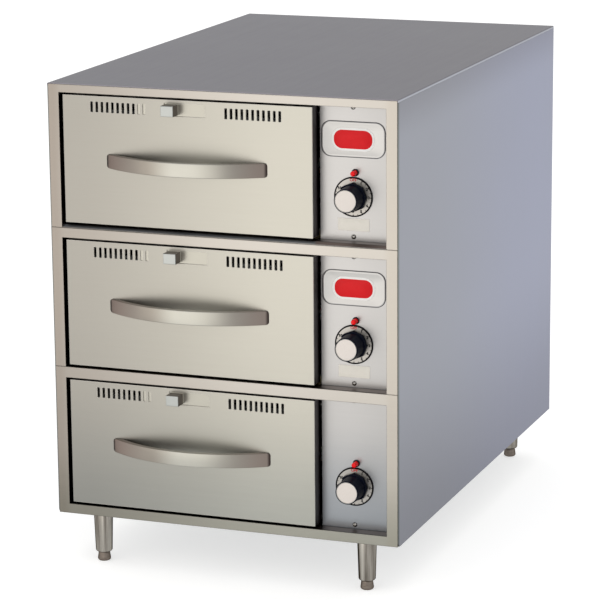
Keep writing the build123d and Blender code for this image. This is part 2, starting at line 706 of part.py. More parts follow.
def pan(tier, floor):
    """A tapered steel pan with a flat rim that rests on the carriage."""
    rim = floor + RIM_LEVEL
    middle = PAN_FRONT + PAN_L / 2

    def tapered(inset, low, high):
        """The pan's shape between two heights, drawn in by the wall's thickness."""
        wide, long = PAN_BODY_W - 2 * inset, PAN_BODY_L - 2 * inset
        shrink = 2 * PAN_TAPER
        mouth = RectangleRounded(wide, long, PAN_BODY_R - inset)
        floor_outline = RectangleRounded(wide - shrink, long - shrink, PAN_FLOOR_R - inset)
        shape = loft([Pos(DRAWER_X, middle, low) * floor_outline, Pos(DRAWER_X, middle, high) * mouth])
        return fillet(shape.faces().sort_by(Axis.Z)[0].edges(), PAN_BEND_R - inset)

    outer = tapered(0, rim - PAN_DEPTH, rim)
    inner = tapered(PAN_T, rim - PAN_DEPTH + PAN_T, rim + PAN_T)
    flange = extrude(Pos(DRAWER_X, middle, rim) * RectangleRounded(PAN_W, PAN_L, PAN_CORNER_R), amount=PAN_T)
    keep(f"pan_{tier}", outer + flange - inner)


def drawer_rollers(tier, floor):
    """The front rollers, which turn on the cabinet, and the rear ones, which go with the drawer."""
    fixed = roller(FIXED_ROLLER_IN, FIXED_ROLLER_Y, fixed_roller_level(floor))
    keep(f"cabinet_rollers_{tier}", *sides(fixed))
    moving = roller(MOVING_ROLLER_IN, MOVING_ROLLER_Y, floor + MOVING_ROLLER_LEVEL)
    keep(f"drawer_rollers_{tier}", *sides(moving))


def legs():
    """Four tapered legs, each with a stud through the floor and a bore for the foot's stem."""
    leg = turned([(0, STUD_L), (STUD_R, STUD_L), (STUD_R, 0), (LEG_TOP_R, 0), (LEG_LOW_R, LEG_BEVEL - LEG_L),
                  (LEG_LOW_R - LEG_BEVEL, -LEG_L), (STEM_BORE, -LEG_L), (STEM_BORE, -STEM_ROOM),
                  (0, -STEM_ROOM), (0, STUD_L)])
    keep("legs", *[Pos(x, y, 0) * leg for x, y in leg_places()])


def feet():
    """A screw-in foot in each leg, flared and rounded at the sole."""
    neck = -LEG_L - FOOT_GAP
    sole = neck - FOOT_H
    flare = sole + FOOT_H / 4
    foot = turned(
        [(FOOT_SOLE_R, sole), (0, sole), (0, -STEM_TOP), (STEM_R, -STEM_TOP), (STEM_R, neck),
         (FOOT_NECK_R, neck), (FOOT_NECK_R, neck - 2), (FOOT_R, flare)],
        ThreePointArc((FOOT_R, flare), (FOOT_R - 0.9, sole + FOOT_H / 12), (FOOT_SOLE_R, sole)))
    names = ("front_left", "front_right", "rear_left", "rear_right")
    for name, (x, y) in zip(names, leg_places()):
        keep(f"foot_{name}", Pos(x, y, 0) * foot)


def cord_gland():
    """A round gland in the back panel for the supply cord."""
    gland = rod(GLAND_BODY_R, GLAND_X, GLAND_Z, CABINET_D - GLAND_IN, CABINET_D)
    gland += rod(GLAND_COLLAR_R, GLAND_X, GLAND_Z, CABINET_D, CABINET_D + GLAND_COLLAR_T)
    nut = rod(GLAND_NUT_R, GLAND_X, GLAND_Z, CABINET_D + GLAND_COLLAR_T, CABINET_D + GLAND_OUT)
    gland += fillet(nut.edges().filter_by(GeomType.CIRCLE).sort_by(Axis.Y)[-1], 1.5)
    bore = rod(GLAND_BORE, GLAND_X, GLAND_Z, CABINET_D - GLAND_IN - 1, CABINET_D + GLAND_OUT + 1)
    keep("cord_gland", gland - bore)


def terminal_block():
    """The block where the supply cord meets the wires, with ribs between its terminals."""
    x0 = TERMINAL_X - TERMINAL_W / 2
    y0, y1 = TERMINAL_Y, TERMINAL_Y + TERMINAL_D
    terminals = block(x0, x0 + TERMINAL_W, y0, y1, SHEET, TERMINAL_H)
    step = (TERMINAL_W - 2) / (TERMINAL_RIBS - 1)
    for index in range(TERMINAL_RIBS):
        x = x0 + index * step
        terminals += block(x, x + 2, y0, y1, TERMINAL_H, TERMINAL_H + TERMINAL_RIB)
    keep("terminal_block", terminals)


def wiring_harness():
    """The wires: a run along the floor, a riser, and a branch to the back of each thermostat."""
    highest = FLOORS["top"] + DIAL_LEVEL - BRANCH_DROP + 2 * HARNESS_R
    start = (HARNESS_X, TERMINAL_Y, HARNESS_Z)
    path = FilletPolyline(start, (HARNESS_X, HARNESS_RISER, HARNESS_Z), (HARNESS_X, HARNESS_RISER, highest),
                          radius=HARNESS_BEND)
    wires = sweep(Plane(start, z_dir=(0, -1, 0)) * Circle(HARNESS_R), path)
    for floor in FLOORS.values():
        level = floor + DIAL_LEVEL - BRANCH_DROP
        root = (HARNESS_X, HARNESS_RISER, level)
        bend = FilletPolyline(root, (CONTROL_X, HARNESS_RISER, level), (CONTROL_X, THERMOSTAT_BACK, level),
                              radius=BRANCH_BEND)
        wires += sweep(Plane(root, z_dir=(-1, 0, 0)) * Circle(BRANCH_R), bend)
    keep("wiring_harness", wires)


def main():
    """Build every node."""
    os.makedirs("parts", exist_ok=True)
    for build in (top_panel, side_panels, back_panel, bottom_panel, tier_frames, drawer_tunnels,
                  heating_elements, insulation_blankets, slide_tracks, control_panels, badges, dial_rings,
                  thermostats, thermostat_bulbs, pilot_lamps, panel_screws, legs, feet, cord_gland,
                  terminal_block, wiring_harness):
        build()
    for tier, floor in FLOORS.items():
        for build in (knob, drawer_front, vent_slide, drawer_handle, drawer_carriage, pan, drawer_rollers):
            build(tier, floor)


main()
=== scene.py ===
"""A commercial warming drawer unit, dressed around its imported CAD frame.

The cabinet's sheets, drawers, pans and inner parts are the frame's own nodes with steel finishes.
Handles, knobs, dials, lamps, badges, screws, legs, feet and insulation are finer meshes made here.
All lengths are metres in the frame's axes: X across, Y backwards, Z up from the floor.
"""

import logging
import math
from dataclasses import dataclass, replace
from enum import Enum

import bmesh
import bpy
import numpy as np
from mathutils import Matrix, Vector


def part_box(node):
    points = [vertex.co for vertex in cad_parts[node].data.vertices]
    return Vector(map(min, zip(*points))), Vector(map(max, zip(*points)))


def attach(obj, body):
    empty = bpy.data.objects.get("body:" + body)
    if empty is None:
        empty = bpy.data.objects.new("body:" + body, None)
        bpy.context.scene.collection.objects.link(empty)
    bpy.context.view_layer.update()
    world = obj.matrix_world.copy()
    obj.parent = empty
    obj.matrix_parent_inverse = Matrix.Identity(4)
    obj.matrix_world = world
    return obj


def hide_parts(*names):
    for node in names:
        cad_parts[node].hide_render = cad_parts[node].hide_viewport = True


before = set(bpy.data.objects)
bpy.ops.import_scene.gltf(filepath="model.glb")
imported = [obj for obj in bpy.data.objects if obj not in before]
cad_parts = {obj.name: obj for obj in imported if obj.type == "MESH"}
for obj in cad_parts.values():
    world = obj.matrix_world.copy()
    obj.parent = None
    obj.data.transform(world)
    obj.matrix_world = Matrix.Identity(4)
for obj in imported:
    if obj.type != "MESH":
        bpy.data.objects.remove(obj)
log = logging.getLogger("warming_drawer")

MM = 0.001
MERGE_DISTANCE = 1e-6  # points of a mesh that are closer than this are one
COAT_ROUGHNESS = 0.12
GLOW_DEPTH = 2 * MM  # how far light spreads inside nylon and polycarbonate
INK_DEPTH = 0.05 * MM  # half the thickness of a printed character


class Tier(Enum):
    """One of the three stacked drawers, by the word that its nodes' names end with."""

    BOTTOM = "bottom"
    MIDDLE = "middle"
    TOP = "top"


class Axis(Enum):
    """A direction of the object, as an index into a point."""

    ACROSS = 0
    BACK = 1
    UP = 2


BADGED = (Tier.MIDDLE, Tier.TOP)
CORNERS = ("front_left", "front_right", "rear_left", "rear_right")
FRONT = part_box("tier_frame_top")[0].y
INSIDE = FRONT + 0.5 * MM
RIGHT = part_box("top_panel")[1].x
DIAL_LEVEL = 61.4 * MM


def tier_floor(tier: Tier) -> float:
    """The height of the sill of a tier's opening, worked out from its knob."""
    return middle(f"knob_{tier.value}").z - DIAL_LEVEL


def linear(colour: str) -> tuple[float, float, float, float]:
    """Turn an sRGB hex value into Blender's linear colour.

    Args:
        colour: A hex value such as "#c8c4b8".

    Returns:
        Red, green, blue and an alpha of 1.
    """
    share = np.array([int(colour[start:start + 2], 16) for start in (1, 3, 5)]) / 255
    bright = ((share + 0.055) / 1.055) ** 2.4
    return (*np.where(share <= 0.04045, share / 12.92, bright).tolist(), 1.0)


def add_node(tree: bpy.types.NodeTree, kind: str, settings: dict | None = None,
             inputs: dict | None = None) -> bpy.types.Node:
    """Add one node with its settings, input values and links.

    Args:
        tree: The node tree that it goes into.
        kind: The node's type name.
        settings: The node's own properties.
        inputs: Values or output sockets, by the name or number of the input.

    Returns:
        The new node.
    """
    made = tree.nodes.new(kind)
    for name, value in (settings or {}).items():
        setattr(made, name, value)
    for name, value in (inputs or {}).items():
        if isinstance(value, bpy.types.NodeSocket):
            tree.links.new(value, made.inputs[name])
        else:
            made.inputs[name].default_value = value
    return made


@dataclass(frozen=True)
class Grain:
    """A noise pattern of a real size: how long its marks are along each axis, in millimetres."""

    size: tuple[float, float, float]
    tone: float = 0.0
    rough: float = 0.0
    relief: float = 0.0
    detail: float = 2.0


@dataclass(frozen=True)
class Fade:
    """A slow change of tone along one axis of the object, from `start` to `end` in metres.

    Its colour tints what is there, or with `covers` takes its place, and with `inside` it only does so
    behind the front plane.
    """

    axis: Axis
    start: float
    end: float
    colour: str
    covers: bool = False
    inside: bool = False


def from_front(start: float, end: float, colour: str, covers: bool = True) -> Fade:
    """A fade between two distances behind the front plane, in millimetres."""
    return Fade(Axis.BACK, FRONT + start * MM, FRONT + end * MM, colour, covers)


@dataclass(frozen=True)
class Finish:
    """A surface finish.

    The pale and the dark colour are mixed by the grains' noise, the fades tint the result, most of them as
    painted shade or painted highlight, and the same noise drives the roughness and a relief in millimetres.
    `edge` rounds sharp edges to the eye, by a radius in millimetres, and `rim` is the colour of a thin line
    along them: painted shade where it is dark, a painted highlight where it is pale. `shine` is how
    strongly a surface other than metal gleams, and `slant` tints what one reflects at a low angle.
    """

    name: str
    pale: str
    dark: str
    roughness: float
    metallic: float = 0.0
    grains: tuple[Grain, ...] = ()
    fades: tuple[Fade, ...] = ()
    edge: float = 0.0
    rim: str = ""
    ior: float = 1.5
    shine: float = 0.5
    slant: str = "#ffffff"
    coat: float = 0.0
    subsurface: float = 0.0

    def material(self) -> bpy.types.Material:
        """Build the finish once as a node material and hand back the same one after that.

        Returns:
            The material.
        """
        if self.name in bpy.data.materials:
            return bpy.data.materials[self.name]
        made = bpy.data.materials.new(self.name)
        made.use_nodes = True
        tree = made.node_tree
        tree.nodes.clear()
        place = add_node(tree, "ShaderNodeTexCoord").outputs["Object"]
        noises = [self.noise(tree, place, grain) for grain in self.grains]
        inputs = self.plain_inputs()
        inputs["Base Color"] = self.colour(tree, place, noises)
        inputs["Roughness"] = self.varied(tree, noises)
        rounded = None
        if self.edge:
            bevel = {"Radius": self.edge * MM}
            rounded = add_node(tree, "ShaderNodeBevel", {"samples": 4}, bevel).outputs[0]
        if self.rim:
            inputs["Base Color"] = self.lined(tree, inputs["Base Color"], rounded)
        normal = self.relief(tree, noises, rounded)
        if normal is not None:
            inputs["Normal"] = normal
        shader = add_node(tree, "ShaderNodeBsdfPrincipled", inputs=inputs)
        add_node(tree, "ShaderNodeOutputMaterial", inputs={"Surface": shader.outputs[0]})
        made.diffuse_color = linear(self.pale)
        return made

    def plain_inputs(self) -> dict:
        """The shader's values that are the same all over the surface."""
        inputs = {"Metallic": self.metallic, "Specular Tint": linear(self.slant)}
        inputs |= {"Coat Weight": self.coat, "Coat Roughness": COAT_ROUGHNESS}
        inputs |= {"Subsurface Weight": self.subsurface, "Subsurface Scale": GLOW_DEPTH}
        if self.metallic < 1:
            inputs |= {"IOR": self.ior, "Specular IOR Level": self.shine}
        return inputs

    def noise(self, tree: bpy.types.NodeTree, place: bpy.types.NodeSocket,
              grain: Grain) -> bpy.types.NodeSocket:
        """Noise stretched to the grain's size: one period per mark along each axis.

        Args:
            tree: The material's node tree.
            place: Where on the object, in metres.
            grain: The pattern's real size.

        Returns:
            A value of about 0.25 to 0.75.
        """
        scale = tuple(1 / (length * MM) for length in grain.size)
        mapped = add_node(tree, "ShaderNodeMapping", inputs={"Vector": place, "Scale": scale})
        inputs = {"Vector": mapped.outputs[0], "Scale": 1.0, "Detail": grain.detail}
        return add_node(tree, "ShaderNodeTexNoise", inputs=inputs).outputs[0]

    def total(self, tree: bpy.types.NodeTree, noises: list, weights: list[float],
              base: float) -> bpy.types.NodeSocket:
        """Add up noise, each part centred on nought and weighted, onto a base value.

        Args:
            tree: The material's node tree.
            noises: The noise of each grain.
            weights: How much of each goes in.
            base: The value where every noise is at its middle.

        Returns:
            The sum as a socket.
        """
        start = base - 0.5 * sum(weights)
        value = add_node(tree, "ShaderNodeValue").outputs[0]
        value.default_value = start
        for noise, weight in zip(noises, weights):
            if weight:
                inputs = {0: noise, 1: weight, 2: value}
                value = add_node(tree, "ShaderNodeMath", {"operation": "MULTIPLY_ADD"}, inputs).outputs[0]
        return value

    def colour(self, tree: bpy.types.NodeTree, place: bpy.types.NodeSocket,
               noises: list) -> bpy.types.NodeSocket:
        """Mix the dark and the pale colour by the noise, then tint the ends that fade.

        Args:
            tree: The material's node tree.
            place: Where on the object, in metres.
            noises: The noise of each grain.

        Returns:
            The colour.
        """
        share = self.total(tree, noises, [grain.tone for grain in self.grains], 0.5)
        inputs = {0: share, 6: linear(self.dark), 7: linear(self.pale)}
        mixed = add_node(tree, "ShaderNodeMix", {"data_type": "RGBA"}, inputs).outputs[2]
        if self.fades:
            parts = add_node(tree, "ShaderNodeSeparateXYZ", inputs={0: place})
        for fade in self.fades:
            place_along = parts.outputs[fade.axis.value]
            inputs = {"Value": place_along, "From Min": fade.start, "From Max": fade.end}
            if fade.inside:
                test = {0: parts.outputs[Axis.BACK.value], 1: INSIDE}
                behind = add_node(tree, "ShaderNodeMath", {"operation": "GREATER_THAN"}, test)
                inputs["To Max"] = behind.outputs[0]
            amount = add_node(tree, "ShaderNodeMapRange", {"interpolation_type": "SMOOTHSTEP"}, inputs)
            inputs = {0: amount.outputs[0], 6: mixed, 7: linear(fade.colour)}
            settings = {"data_type": "RGBA", "blend_type": "MIX" if fade.covers else "MULTIPLY"}
            mixed = add_node(tree, "ShaderNodeMix", settings, inputs).outputs[2]
        return mixed

    def varied(self, tree: bpy.types.NodeTree, noises: list) -> bpy.types.NodeSocket | float:
        """The roughness, rubbed up and down by the grains."""
        weights = [grain.rough for grain in self.grains]
        return self.total(tree, noises, weights, self.roughness) if any(weights) else self.roughness

    def lined(self, tree: bpy.types.NodeTree, colour: bpy.types.NodeSocket,
              rounded: bpy.types.NodeSocket) -> bpy.types.NodeSocket:
        """Draw a thin painted line along the sharp edges, where the rounded normal turns from the true one:
        painted shade where the rim colour is dark, a painted highlight where it is pale.

        Args:
            tree: The material's node tree.
            colour: The colour away from the edges.
            rounded: The normal with rounded edges.

        Returns:
            The colour with its edge lines.
        """
        flat = add_node(tree, "ShaderNodeNewGeometry").outputs["True Normal"]
        turn = add_node(tree, "ShaderNodeVectorMath", {"operation": "DOT_PRODUCT"}, {0: rounded, 1: flat})
        inputs = {"Value": turn.outputs["Value"], "From Min": 0.98, "From Max": 0.85}
        share = add_node(tree, "ShaderNodeMapRange", inputs=inputs)
        inputs = {0: share.outputs[0], 6: colour, 7: linear(self.rim)}
        return add_node(tree, "ShaderNodeMix", {"data_type": "RGBA"}, inputs).outputs[2]

    def relief(self, tree: bpy.types.NodeTree, noises: list,
               rounded: bpy.types.NodeSocket | None) -> bpy.types.NodeSocket | None:
        """The surface's direction: rounded edges first, then the height of each grain in turn.

        Args:
            tree: The material's node tree.
            noises: The noise of each grain.
            rounded: The normal with rounded edges, if it has any.

        Returns:
            The normal, or nothing where the surface is plain.
        """
        normal = rounded
        for grain, noise in zip(self.grains, noises):
            if grain.relief:
                inputs = {"Strength": 1.0, "Distance": grain.relief * MM, "Height": noise}
                if normal is not None:
                    inputs["Normal"] = normal
                normal = add_node(tree, "ShaderNodeBump", inputs=inputs).outputs[0]
        return normal


def brushed(along: Axis, relief: float = 0.004) -> tuple[Grain, ...]:
    """The marks of a polishing belt that ran along one axis.

    The real scratches are about 0.05 mm wide. They are drawn ten times as coarse, so that they show.

    Args:
        along: The belt's direction.
        relief: How deep the scratches are, in millimetres.

    Returns:
        Fine scratches, wider bands of the belt, and the sheet's slow unevenness.
    """
    fine = [0.5, 0.5, 0.5]
    fine[along.value] = 45.0
    band = [7.0, 7.0, 7.0]
    band[along.value] = 420.0
    return (
        Grain(tuple(fine), tone=0.6, rough=0.08, relief=relief),
        Grain(tuple(band), tone=0.4, rough=0.05),
        Grain((130.0, 130.0, 130.0), tone=0.7, rough=0.06),
    )


# Stainless steel sheet with a belt-polished grain: a soft long glint across the grain, no mirror.
# Where the sheets turn back into gaps and recesses they are painted dark as painted shade, and they are
# darkened towards the bottom as painted shade.
# Painted shade on the face frames: darker towards the bottom and towards the left, and a little darker at
# both outer sides.
FRAME_PAINTED_SHADE = (
    Fade(Axis.UP, 0.20, 0.07, "#d9ddd8"), Fade(Axis.ACROSS, 0.10, -0.27, "#d4d1cf"),
    Fade(Axis.ACROSS, -0.238, -0.252, "#f5f2f0"), Fade(Axis.ACROSS, 0.236, 0.25, "#fbf9f6"))
FRAME_STEEL = Finish(
    "belt_polished_stainless_face_frame", "#b3afa8", "#a9a59f", 0.34, 1.0, brushed(Axis.ACROSS),
    # Painted shade: nearly black behind the front plane in the drawer openings; beside the control panels a
    # dark band just behind the front plane, a browner ledge, and a black band at the recess's foot.
    (*FRAME_PAINTED_SHADE, from_front(0.5, 1.2, "#2a2422"), from_front(2.0, 3.5, "#6d625d"),
     from_front(17.0, 20.0, "#1d1916"),
     Fade(Axis.ACROSS, 0.139, 0.137, "#1a1614", covers=True, inside=True)),
    # The dark rim is a painted shade line along the frame's edges.
    edge=1.2, rim="#3b3531")
# The top frame has a slanted sill, bright like the face and a little bluer; behind it the frame is painted
# nearly black in the drawer opening, brown on the ledge beside the control panel and black at the recess's
# foot, all as painted shade.
TOP_FRAME_STEEL = replace(
    FRAME_STEEL, name="belt_polished_stainless_top_face_frame",
    fades=(*FRAME_PAINTED_SHADE, from_front(0.3, 0.9, "#a4abb6", covers=False),
           from_front(3.9, 4.3, "#1d1916"),
           Fade(Axis.ACROSS, 0.137, 0.141, "#675c57", covers=True, inside=True),
           from_front(17.0, 20.0, "#1d1916")))
# Painted shade on the drawer fronts: darker towards the left and towards the bottom, with their returns
# just behind the front plane painted dark; the pale line along their edges is a painted highlight.
DRAWER_STEEL = Finish(
    "belt_polished_stainless_drawer_fronts", "#b1afa6", "#a7a59c", 0.36, 1.0, brushed(Axis.ACROSS),
    (Fade(Axis.ACROSS, 0.13, -0.25, "#d6d5d7"), Fade(Axis.UP, 0.28, 0.08, "#eaeef1"),
     from_front(0.9, 2.0, "#31282a")),
    edge=1.0, rim="#e6e1da")
# Painted shade on the control panels: darker towards the bottom and a little darker towards their right
# edge.
PANEL_STEEL = Finish(
    "belt_polished_stainless_control_panels", "#b2b1b0", "#a8a7a6", 0.36, 1.0, brushed(Axis.ACROSS),
    (Fade(Axis.UP, 0.26, 0.095, "#d6dde5"), Fade(Axis.ACROSS, 0.17, 0.235, "#f8f8f8")), edge=0.3)
# The side sheets are a darker, bluer copy of the face steel as painted shade, darker again towards the
# bottom and near the top as painted shade; they are a shade warmer towards the front, with a darker band
# along the front joint.
SIDE_STEEL = Finish(
    "belt_polished_stainless_side_sheets", "#9da1b5", "#9397aa", 0.36, 1.0, brushed(Axis.UP),
    (Fade(Axis.UP, 0.36, 0.05, "#d8d7d8"), Fade(Axis.UP, 0.64, 0.71, "#e6e4e4"),
     Fade(Axis.BACK, 0.3, -0.3, "#fffdef"), from_front(5, 2, "#c6cbc0", covers=False)),
    edge=0.5, slant="#e6e6e6")
# The top sheet is a darker copy of the face steel as painted shade, and the narrow pale band along its
# right edge is a painted highlight on the fold.
TOP_STEEL = Finish(
    "belt_polished_stainless_top_sheet", "#807e85", "#78767d", 0.34, 1.0, brushed(Axis.BACK),
    (Fade(Axis.ACROSS, RIGHT - 0.5 * MM, RIGHT - 0.1 * MM, "#b4b7c0", covers=True),), edge=0.5,
    slant="#d2d2d2")
BACK_STEEL = Finish(
    "belt_polished_stainless_back_sheet", "#9c9ca2", "#919197", 0.38, 1.0, brushed(Axis.ACROSS), edge=0.4)

# The same steel on small solid parts, ground by hand: a finer, shorter grain. The handles are
# darkened towards both ends of the bow and over its right part as painted shade, so that the middle
# stays bright as a painted highlight; they turn browner towards the drawer as painted shade and have
# a dark painted outline where they meet it. The tabs are painted dark behind their front face, on
# their tops and sides, as painted shade.
HANDLE_STEEL = Finish(
    "ground_stainless_handle_bars", "#afaea6", "#a6a59d", 0.33, 1.0,
    (Grain((0.4, 0.4, 25.0), tone=0.5, rough=0.05, relief=0.001), Grain((30.0, 30.0, 30.0), tone=0.6)),
    (from_front(-38, -3, "#e8d8d7", covers=False), Fade(Axis.ACROSS, -0.035, 0.035, "#d2d1d0"),
     Fade(Axis.ACROSS, -0.05, -0.10, "#d2cbc8"), from_front(-3.5, -0.8, "#38302e")))
# Painted shade: the tabs are dark behind their front face, on their tops and sides.
TAB_STEEL = Finish(
    "ground_stainless_vent_slides", "#a1a4a2", "#979a98", 0.30, 1.0,
    (Grain((0.5, 0.5, 12.0), tone=0.6, rough=0.08, relief=0.002), Grain((20.0, 20.0, 20.0), tone=0.5)),
    (from_front(-17.2, -16.2, "#5b524d"), from_front(-0.8, 0.6, "#a2a097")), edge=0.4)

# Hot-dip galvanised sheet: grey crystals of zinc some 8 mm across, each at its own slant.
INNER_STEEL = Finish(
    "galvanised_sheet_inner_parts", "#9fa2a3", "#7c8082", 0.42, 1.0,
    (Grain((8.0, 8.0, 8.0), tone=2.4, rough=0.25, detail=0.0), Grain((60.0, 60.0, 60.0), tone=0.6)),
    edge=0.3)

# Deep-drawn stainless steel: bright, with faint flow marks down the walls.
PAN_STEEL = Finish(
    "deep_drawn_stainless_pans", "#cfcfce", "#c0c0c0", 0.22, 1.0,
    (Grain((4.0, 4.0, 60.0), tone=0.8, rough=0.08, relief=0.002), Grain((70.0, 70.0, 70.0), tone=0.6)),
    edge=0.3)

# Drawn aluminium tube, tapered by pressing: the long dark and bright streaks down it are painted
# reflection, and its low-angle reflections are tinted nearly black as a painted dark outline.
LEG_METAL = Finish(
    "drawn_aluminium_legs", "#b0aca4", "#5f5952", 0.24, 1.0,
    (Grain((7.0, 7.0, 320.0), tone=2.6, rough=0.08), Grain((0.6, 0.6, 40.0), tone=0.5, relief=0.003)),
    slant="#1c1a18")
# Brown zinc plating on the screw-in feet: dull, with lighter rubbed patches.
FOOT_PLATING = Finish(
    "brown_zinc_plated_feet", "#857c74", "#665d55", 0.42, 1.0,
    (Grain((5.0, 5.0, 2.0), tone=1.4, rough=0.2, relief=0.01),), slant="#4a4643")
# Phenolic moulding: hard and nearly black, tumbled to a satin that shows faint orange peel.
PHENOLIC = Finish(
    "phenolic_moulded_knobs", "#0a1022", "#050813", 0.34, 0.0,
    (Grain((1.6, 1.6, 1.6), tone=0.8, rough=0.06, relief=0.006),), ior=1.6, shine=0.04)
# Clear-lacquered, cream-printed aluminium disc on each knob.
CAP_LACQUER = Finish(
    "lacquered_aluminium_knob_caps", "#e6dfd9", "#ddd5ce", 0.34, 0.0,
    (Grain((3.0, 3.0, 3.0), tone=0.8, rough=0.05, relief=0.002),))
CAP_RIM = Finish(
    "polished_aluminium_cap_rims", "#b6b4b0", "#a8a6a2", 0.22, 1.0, (Grain((2.0, 2.0, 2.0), tone=0.8),))
# Anodised aluminium dial, satin, with black and red screen printing.
DIAL_METAL = Finish(
    "anodised_aluminium_dials", "#aaa7a2", "#9d9a95", 0.34, 1.0,
    (Grain((14.0, 14.0, 0.6), tone=1.0, rough=0.10, relief=0.003),))
DIAL_BLACK = Finish(
    "screen_printed_black_ink", "#0c0c10", "#060608", 0.42, 0.0,
    (Grain((1.0, 1.0, 1.0), tone=1.0, rough=0.1),), shine=0.06)
DIAL_RED = Finish(
    "screen_printed_red_ink", "#cc1018", "#b80a12", 0.42, 0.0,
    (Grain((1.0, 1.0, 1.0), tone=1.0, rough=0.1),), shine=0.06)
# Zinc-plated turned steel: the knobs' shafts.
SHAFT_STEEL = Finish(
    "zinc_plated_steel_shafts", "#b9bab8", "#a3a4a2", 0.30, 1.0,
    (Grain((12.0, 0.6, 12.0), tone=1.0, rough=0.1),))
# The badges: satin anodised plates with a dark band round their edges as a painted shadow outline, and
# stoved enamel with a soft gloss.
BADGE_SILVER = Finish(
    "satin_anodised_badge_plates", "#b8b7b5", "#aeadab", 0.36, 1.0,
    (Grain((40.0, 1.0, 0.6), tone=0.8, rough=0.08, relief=0.002),))
BADGE_EDGE = Finish(
    "badge_edges_painted_shadow_outline", "#5c5c60", "#47474b", 0.45, 1.0, (Grain((3.0, 3.0, 3.0), tone=0.8),))
BADGE_RED = Finish(
    "red_stoved_enamel", "#e6242a", "#da1c22", 0.30, 0.0,
    (Grain((9.0, 9.0, 9.0), tone=0.8, rough=0.04, relief=0.004),), shine=0.12)
BADGE_WHITE = Finish(
    "white_stoved_enamel", "#fafaf8", "#f3f3f1", 0.30, 0.0,
    (Grain((9.0, 9.0, 9.0), tone=0.8, rough=0.04, relief=0.004),), shine=0.3)
# Cream lacquered foil of the blank plates: a faint crinkle under the lacquer.
PLATE_FOIL = Finish(
    "cream_lacquered_foil_plates", "#f6f2e9", "#ece8de", 0.40, 0.0,
    (Grain((6.0, 6.0, 6.0), tone=0.8, rough=0.1, relief=0.02),), shine=0.3)
# Black nylon bezel of the pilot lamps, with the mould's fine texture.
LAMP_NYLON = Finish(
    "black_nylon_lamp_bezels", "#1d1a1b", "#121011", 0.45, 0.0,
    (Grain((1.2, 1.2, 1.2), tone=0.8, rough=0.1, relief=0.008),), shine=0.2)
# Red polycarbonate, moulded and frosted inside: light spreads a little way in, and none goes through.
LAMP_LENS = Finish(
    "red_polycarbonate_lenses", "#fa0a12", "#e6070e", 0.16, 0.0,
    (Grain((3.0, 3.0, 3.0), tone=0.8, rough=0.04),), ior=1.58, shine=0.15, subsurface=0.1)
# Phenolic thermostat bodies: moulded, brown and matt.
THERMOSTAT_BODY = Finish(
    "brown_phenolic_thermostats", "#5b4538", "#463428", 0.48, 0.0,
    (Grain((2.0, 2.0, 2.0), tone=1.0, rough=0.1, relief=0.01),), edge=0.3)
# Incoloy tube after many heatings: olive-brown oxide with lighter and darker zones.
ELEMENT_SHEATH = Finish(
    "heat_darkened_incoloy_tube", "#6b6555", "#4a463d", 0.45, 1.0,
    (Grain((35.0, 35.0, 35.0), tone=1.8, rough=0.2), Grain((2.0, 2.0, 2.0), tone=0.6, relief=0.01)))
# Drawn copper tube, lightly tarnished.
BULB_COPPER = Finish(
    "drawn_copper_tube", "#c98d6a", "#a86c4b", 0.32, 1.0,
    (Grain((25.0, 25.0, 25.0), tone=1.2, rough=0.12), Grain((0.8, 12.0, 0.8), tone=0.6, rough=0.08)))
# Mineral wool: matt tangled fibres, tan, with darker binder between them.
MINERAL_WOOL = Finish(
    "mineral_wool_blankets", "#d3c49a", "#a08f63", 0.95, 0.0,
    (Grain((0.8, 9.0, 1.2), tone=1.4, relief=0.25), Grain((9.0, 0.8, 1.2), tone=1.2, relief=0.25),
     Grain((45.0, 45.0, 45.0), tone=0.8)))
# Glazed steatite terminal block.
STEATITE = Finish(
    "glazed_steatite_terminal_block", "#ece7dc", "#ddd6c8", 0.28, 0.0,
    (Grain((3.0, 3.0, 3.0), tone=0.8, rough=0.08, relief=0.01),), coat=0.4, edge=0.5)
# Glass-braid sleeve on the wires: cream, with the dark dots of its braid.
WIRE_SLEEVE = Finish(
    "glass_braid_wire_sleeve", "#d9d0b8", "#9d9377", 0.70, 0.0,
    (Grain((1.0, 2.4, 1.0), tone=2.0, rough=0.1, relief=0.08),))
# Black nylon gland with the mould's fine texture.
GLAND_NYLON = Finish(
    "black_nylon_cord_gland", "#262628", "#19191b", 0.48, 0.0,
    (Grain((1.0, 1.0, 1.0), tone=0.8, rough=0.1, relief=0.01),), edge=0.5)
# Natural nylon rollers: milky, slightly waxy.
ROLLER_NYLON = Finish(
    "natural_nylon_rollers", "#ebe7dc", "#dcd7c9", 0.38, 0.0,
    (Grain((5.0, 5.0, 5.0), tone=0.8, rough=0.1, relief=0.01),), subsurface=0.2, edge=0.3)
# Polished stainless screws: small mirrors whose low-angle reflections are tinted nearly black, a painted
# dark reflection round each dome.
SCREW_STEEL = Finish(
    "polished_stainless_screws", "#b5b2ae", "#a19e9a", 0.14, 1.0,
    (Grain((2.0, 2.0, 2.0), tone=0.8, rough=0.06),), slant="#2c2a28")

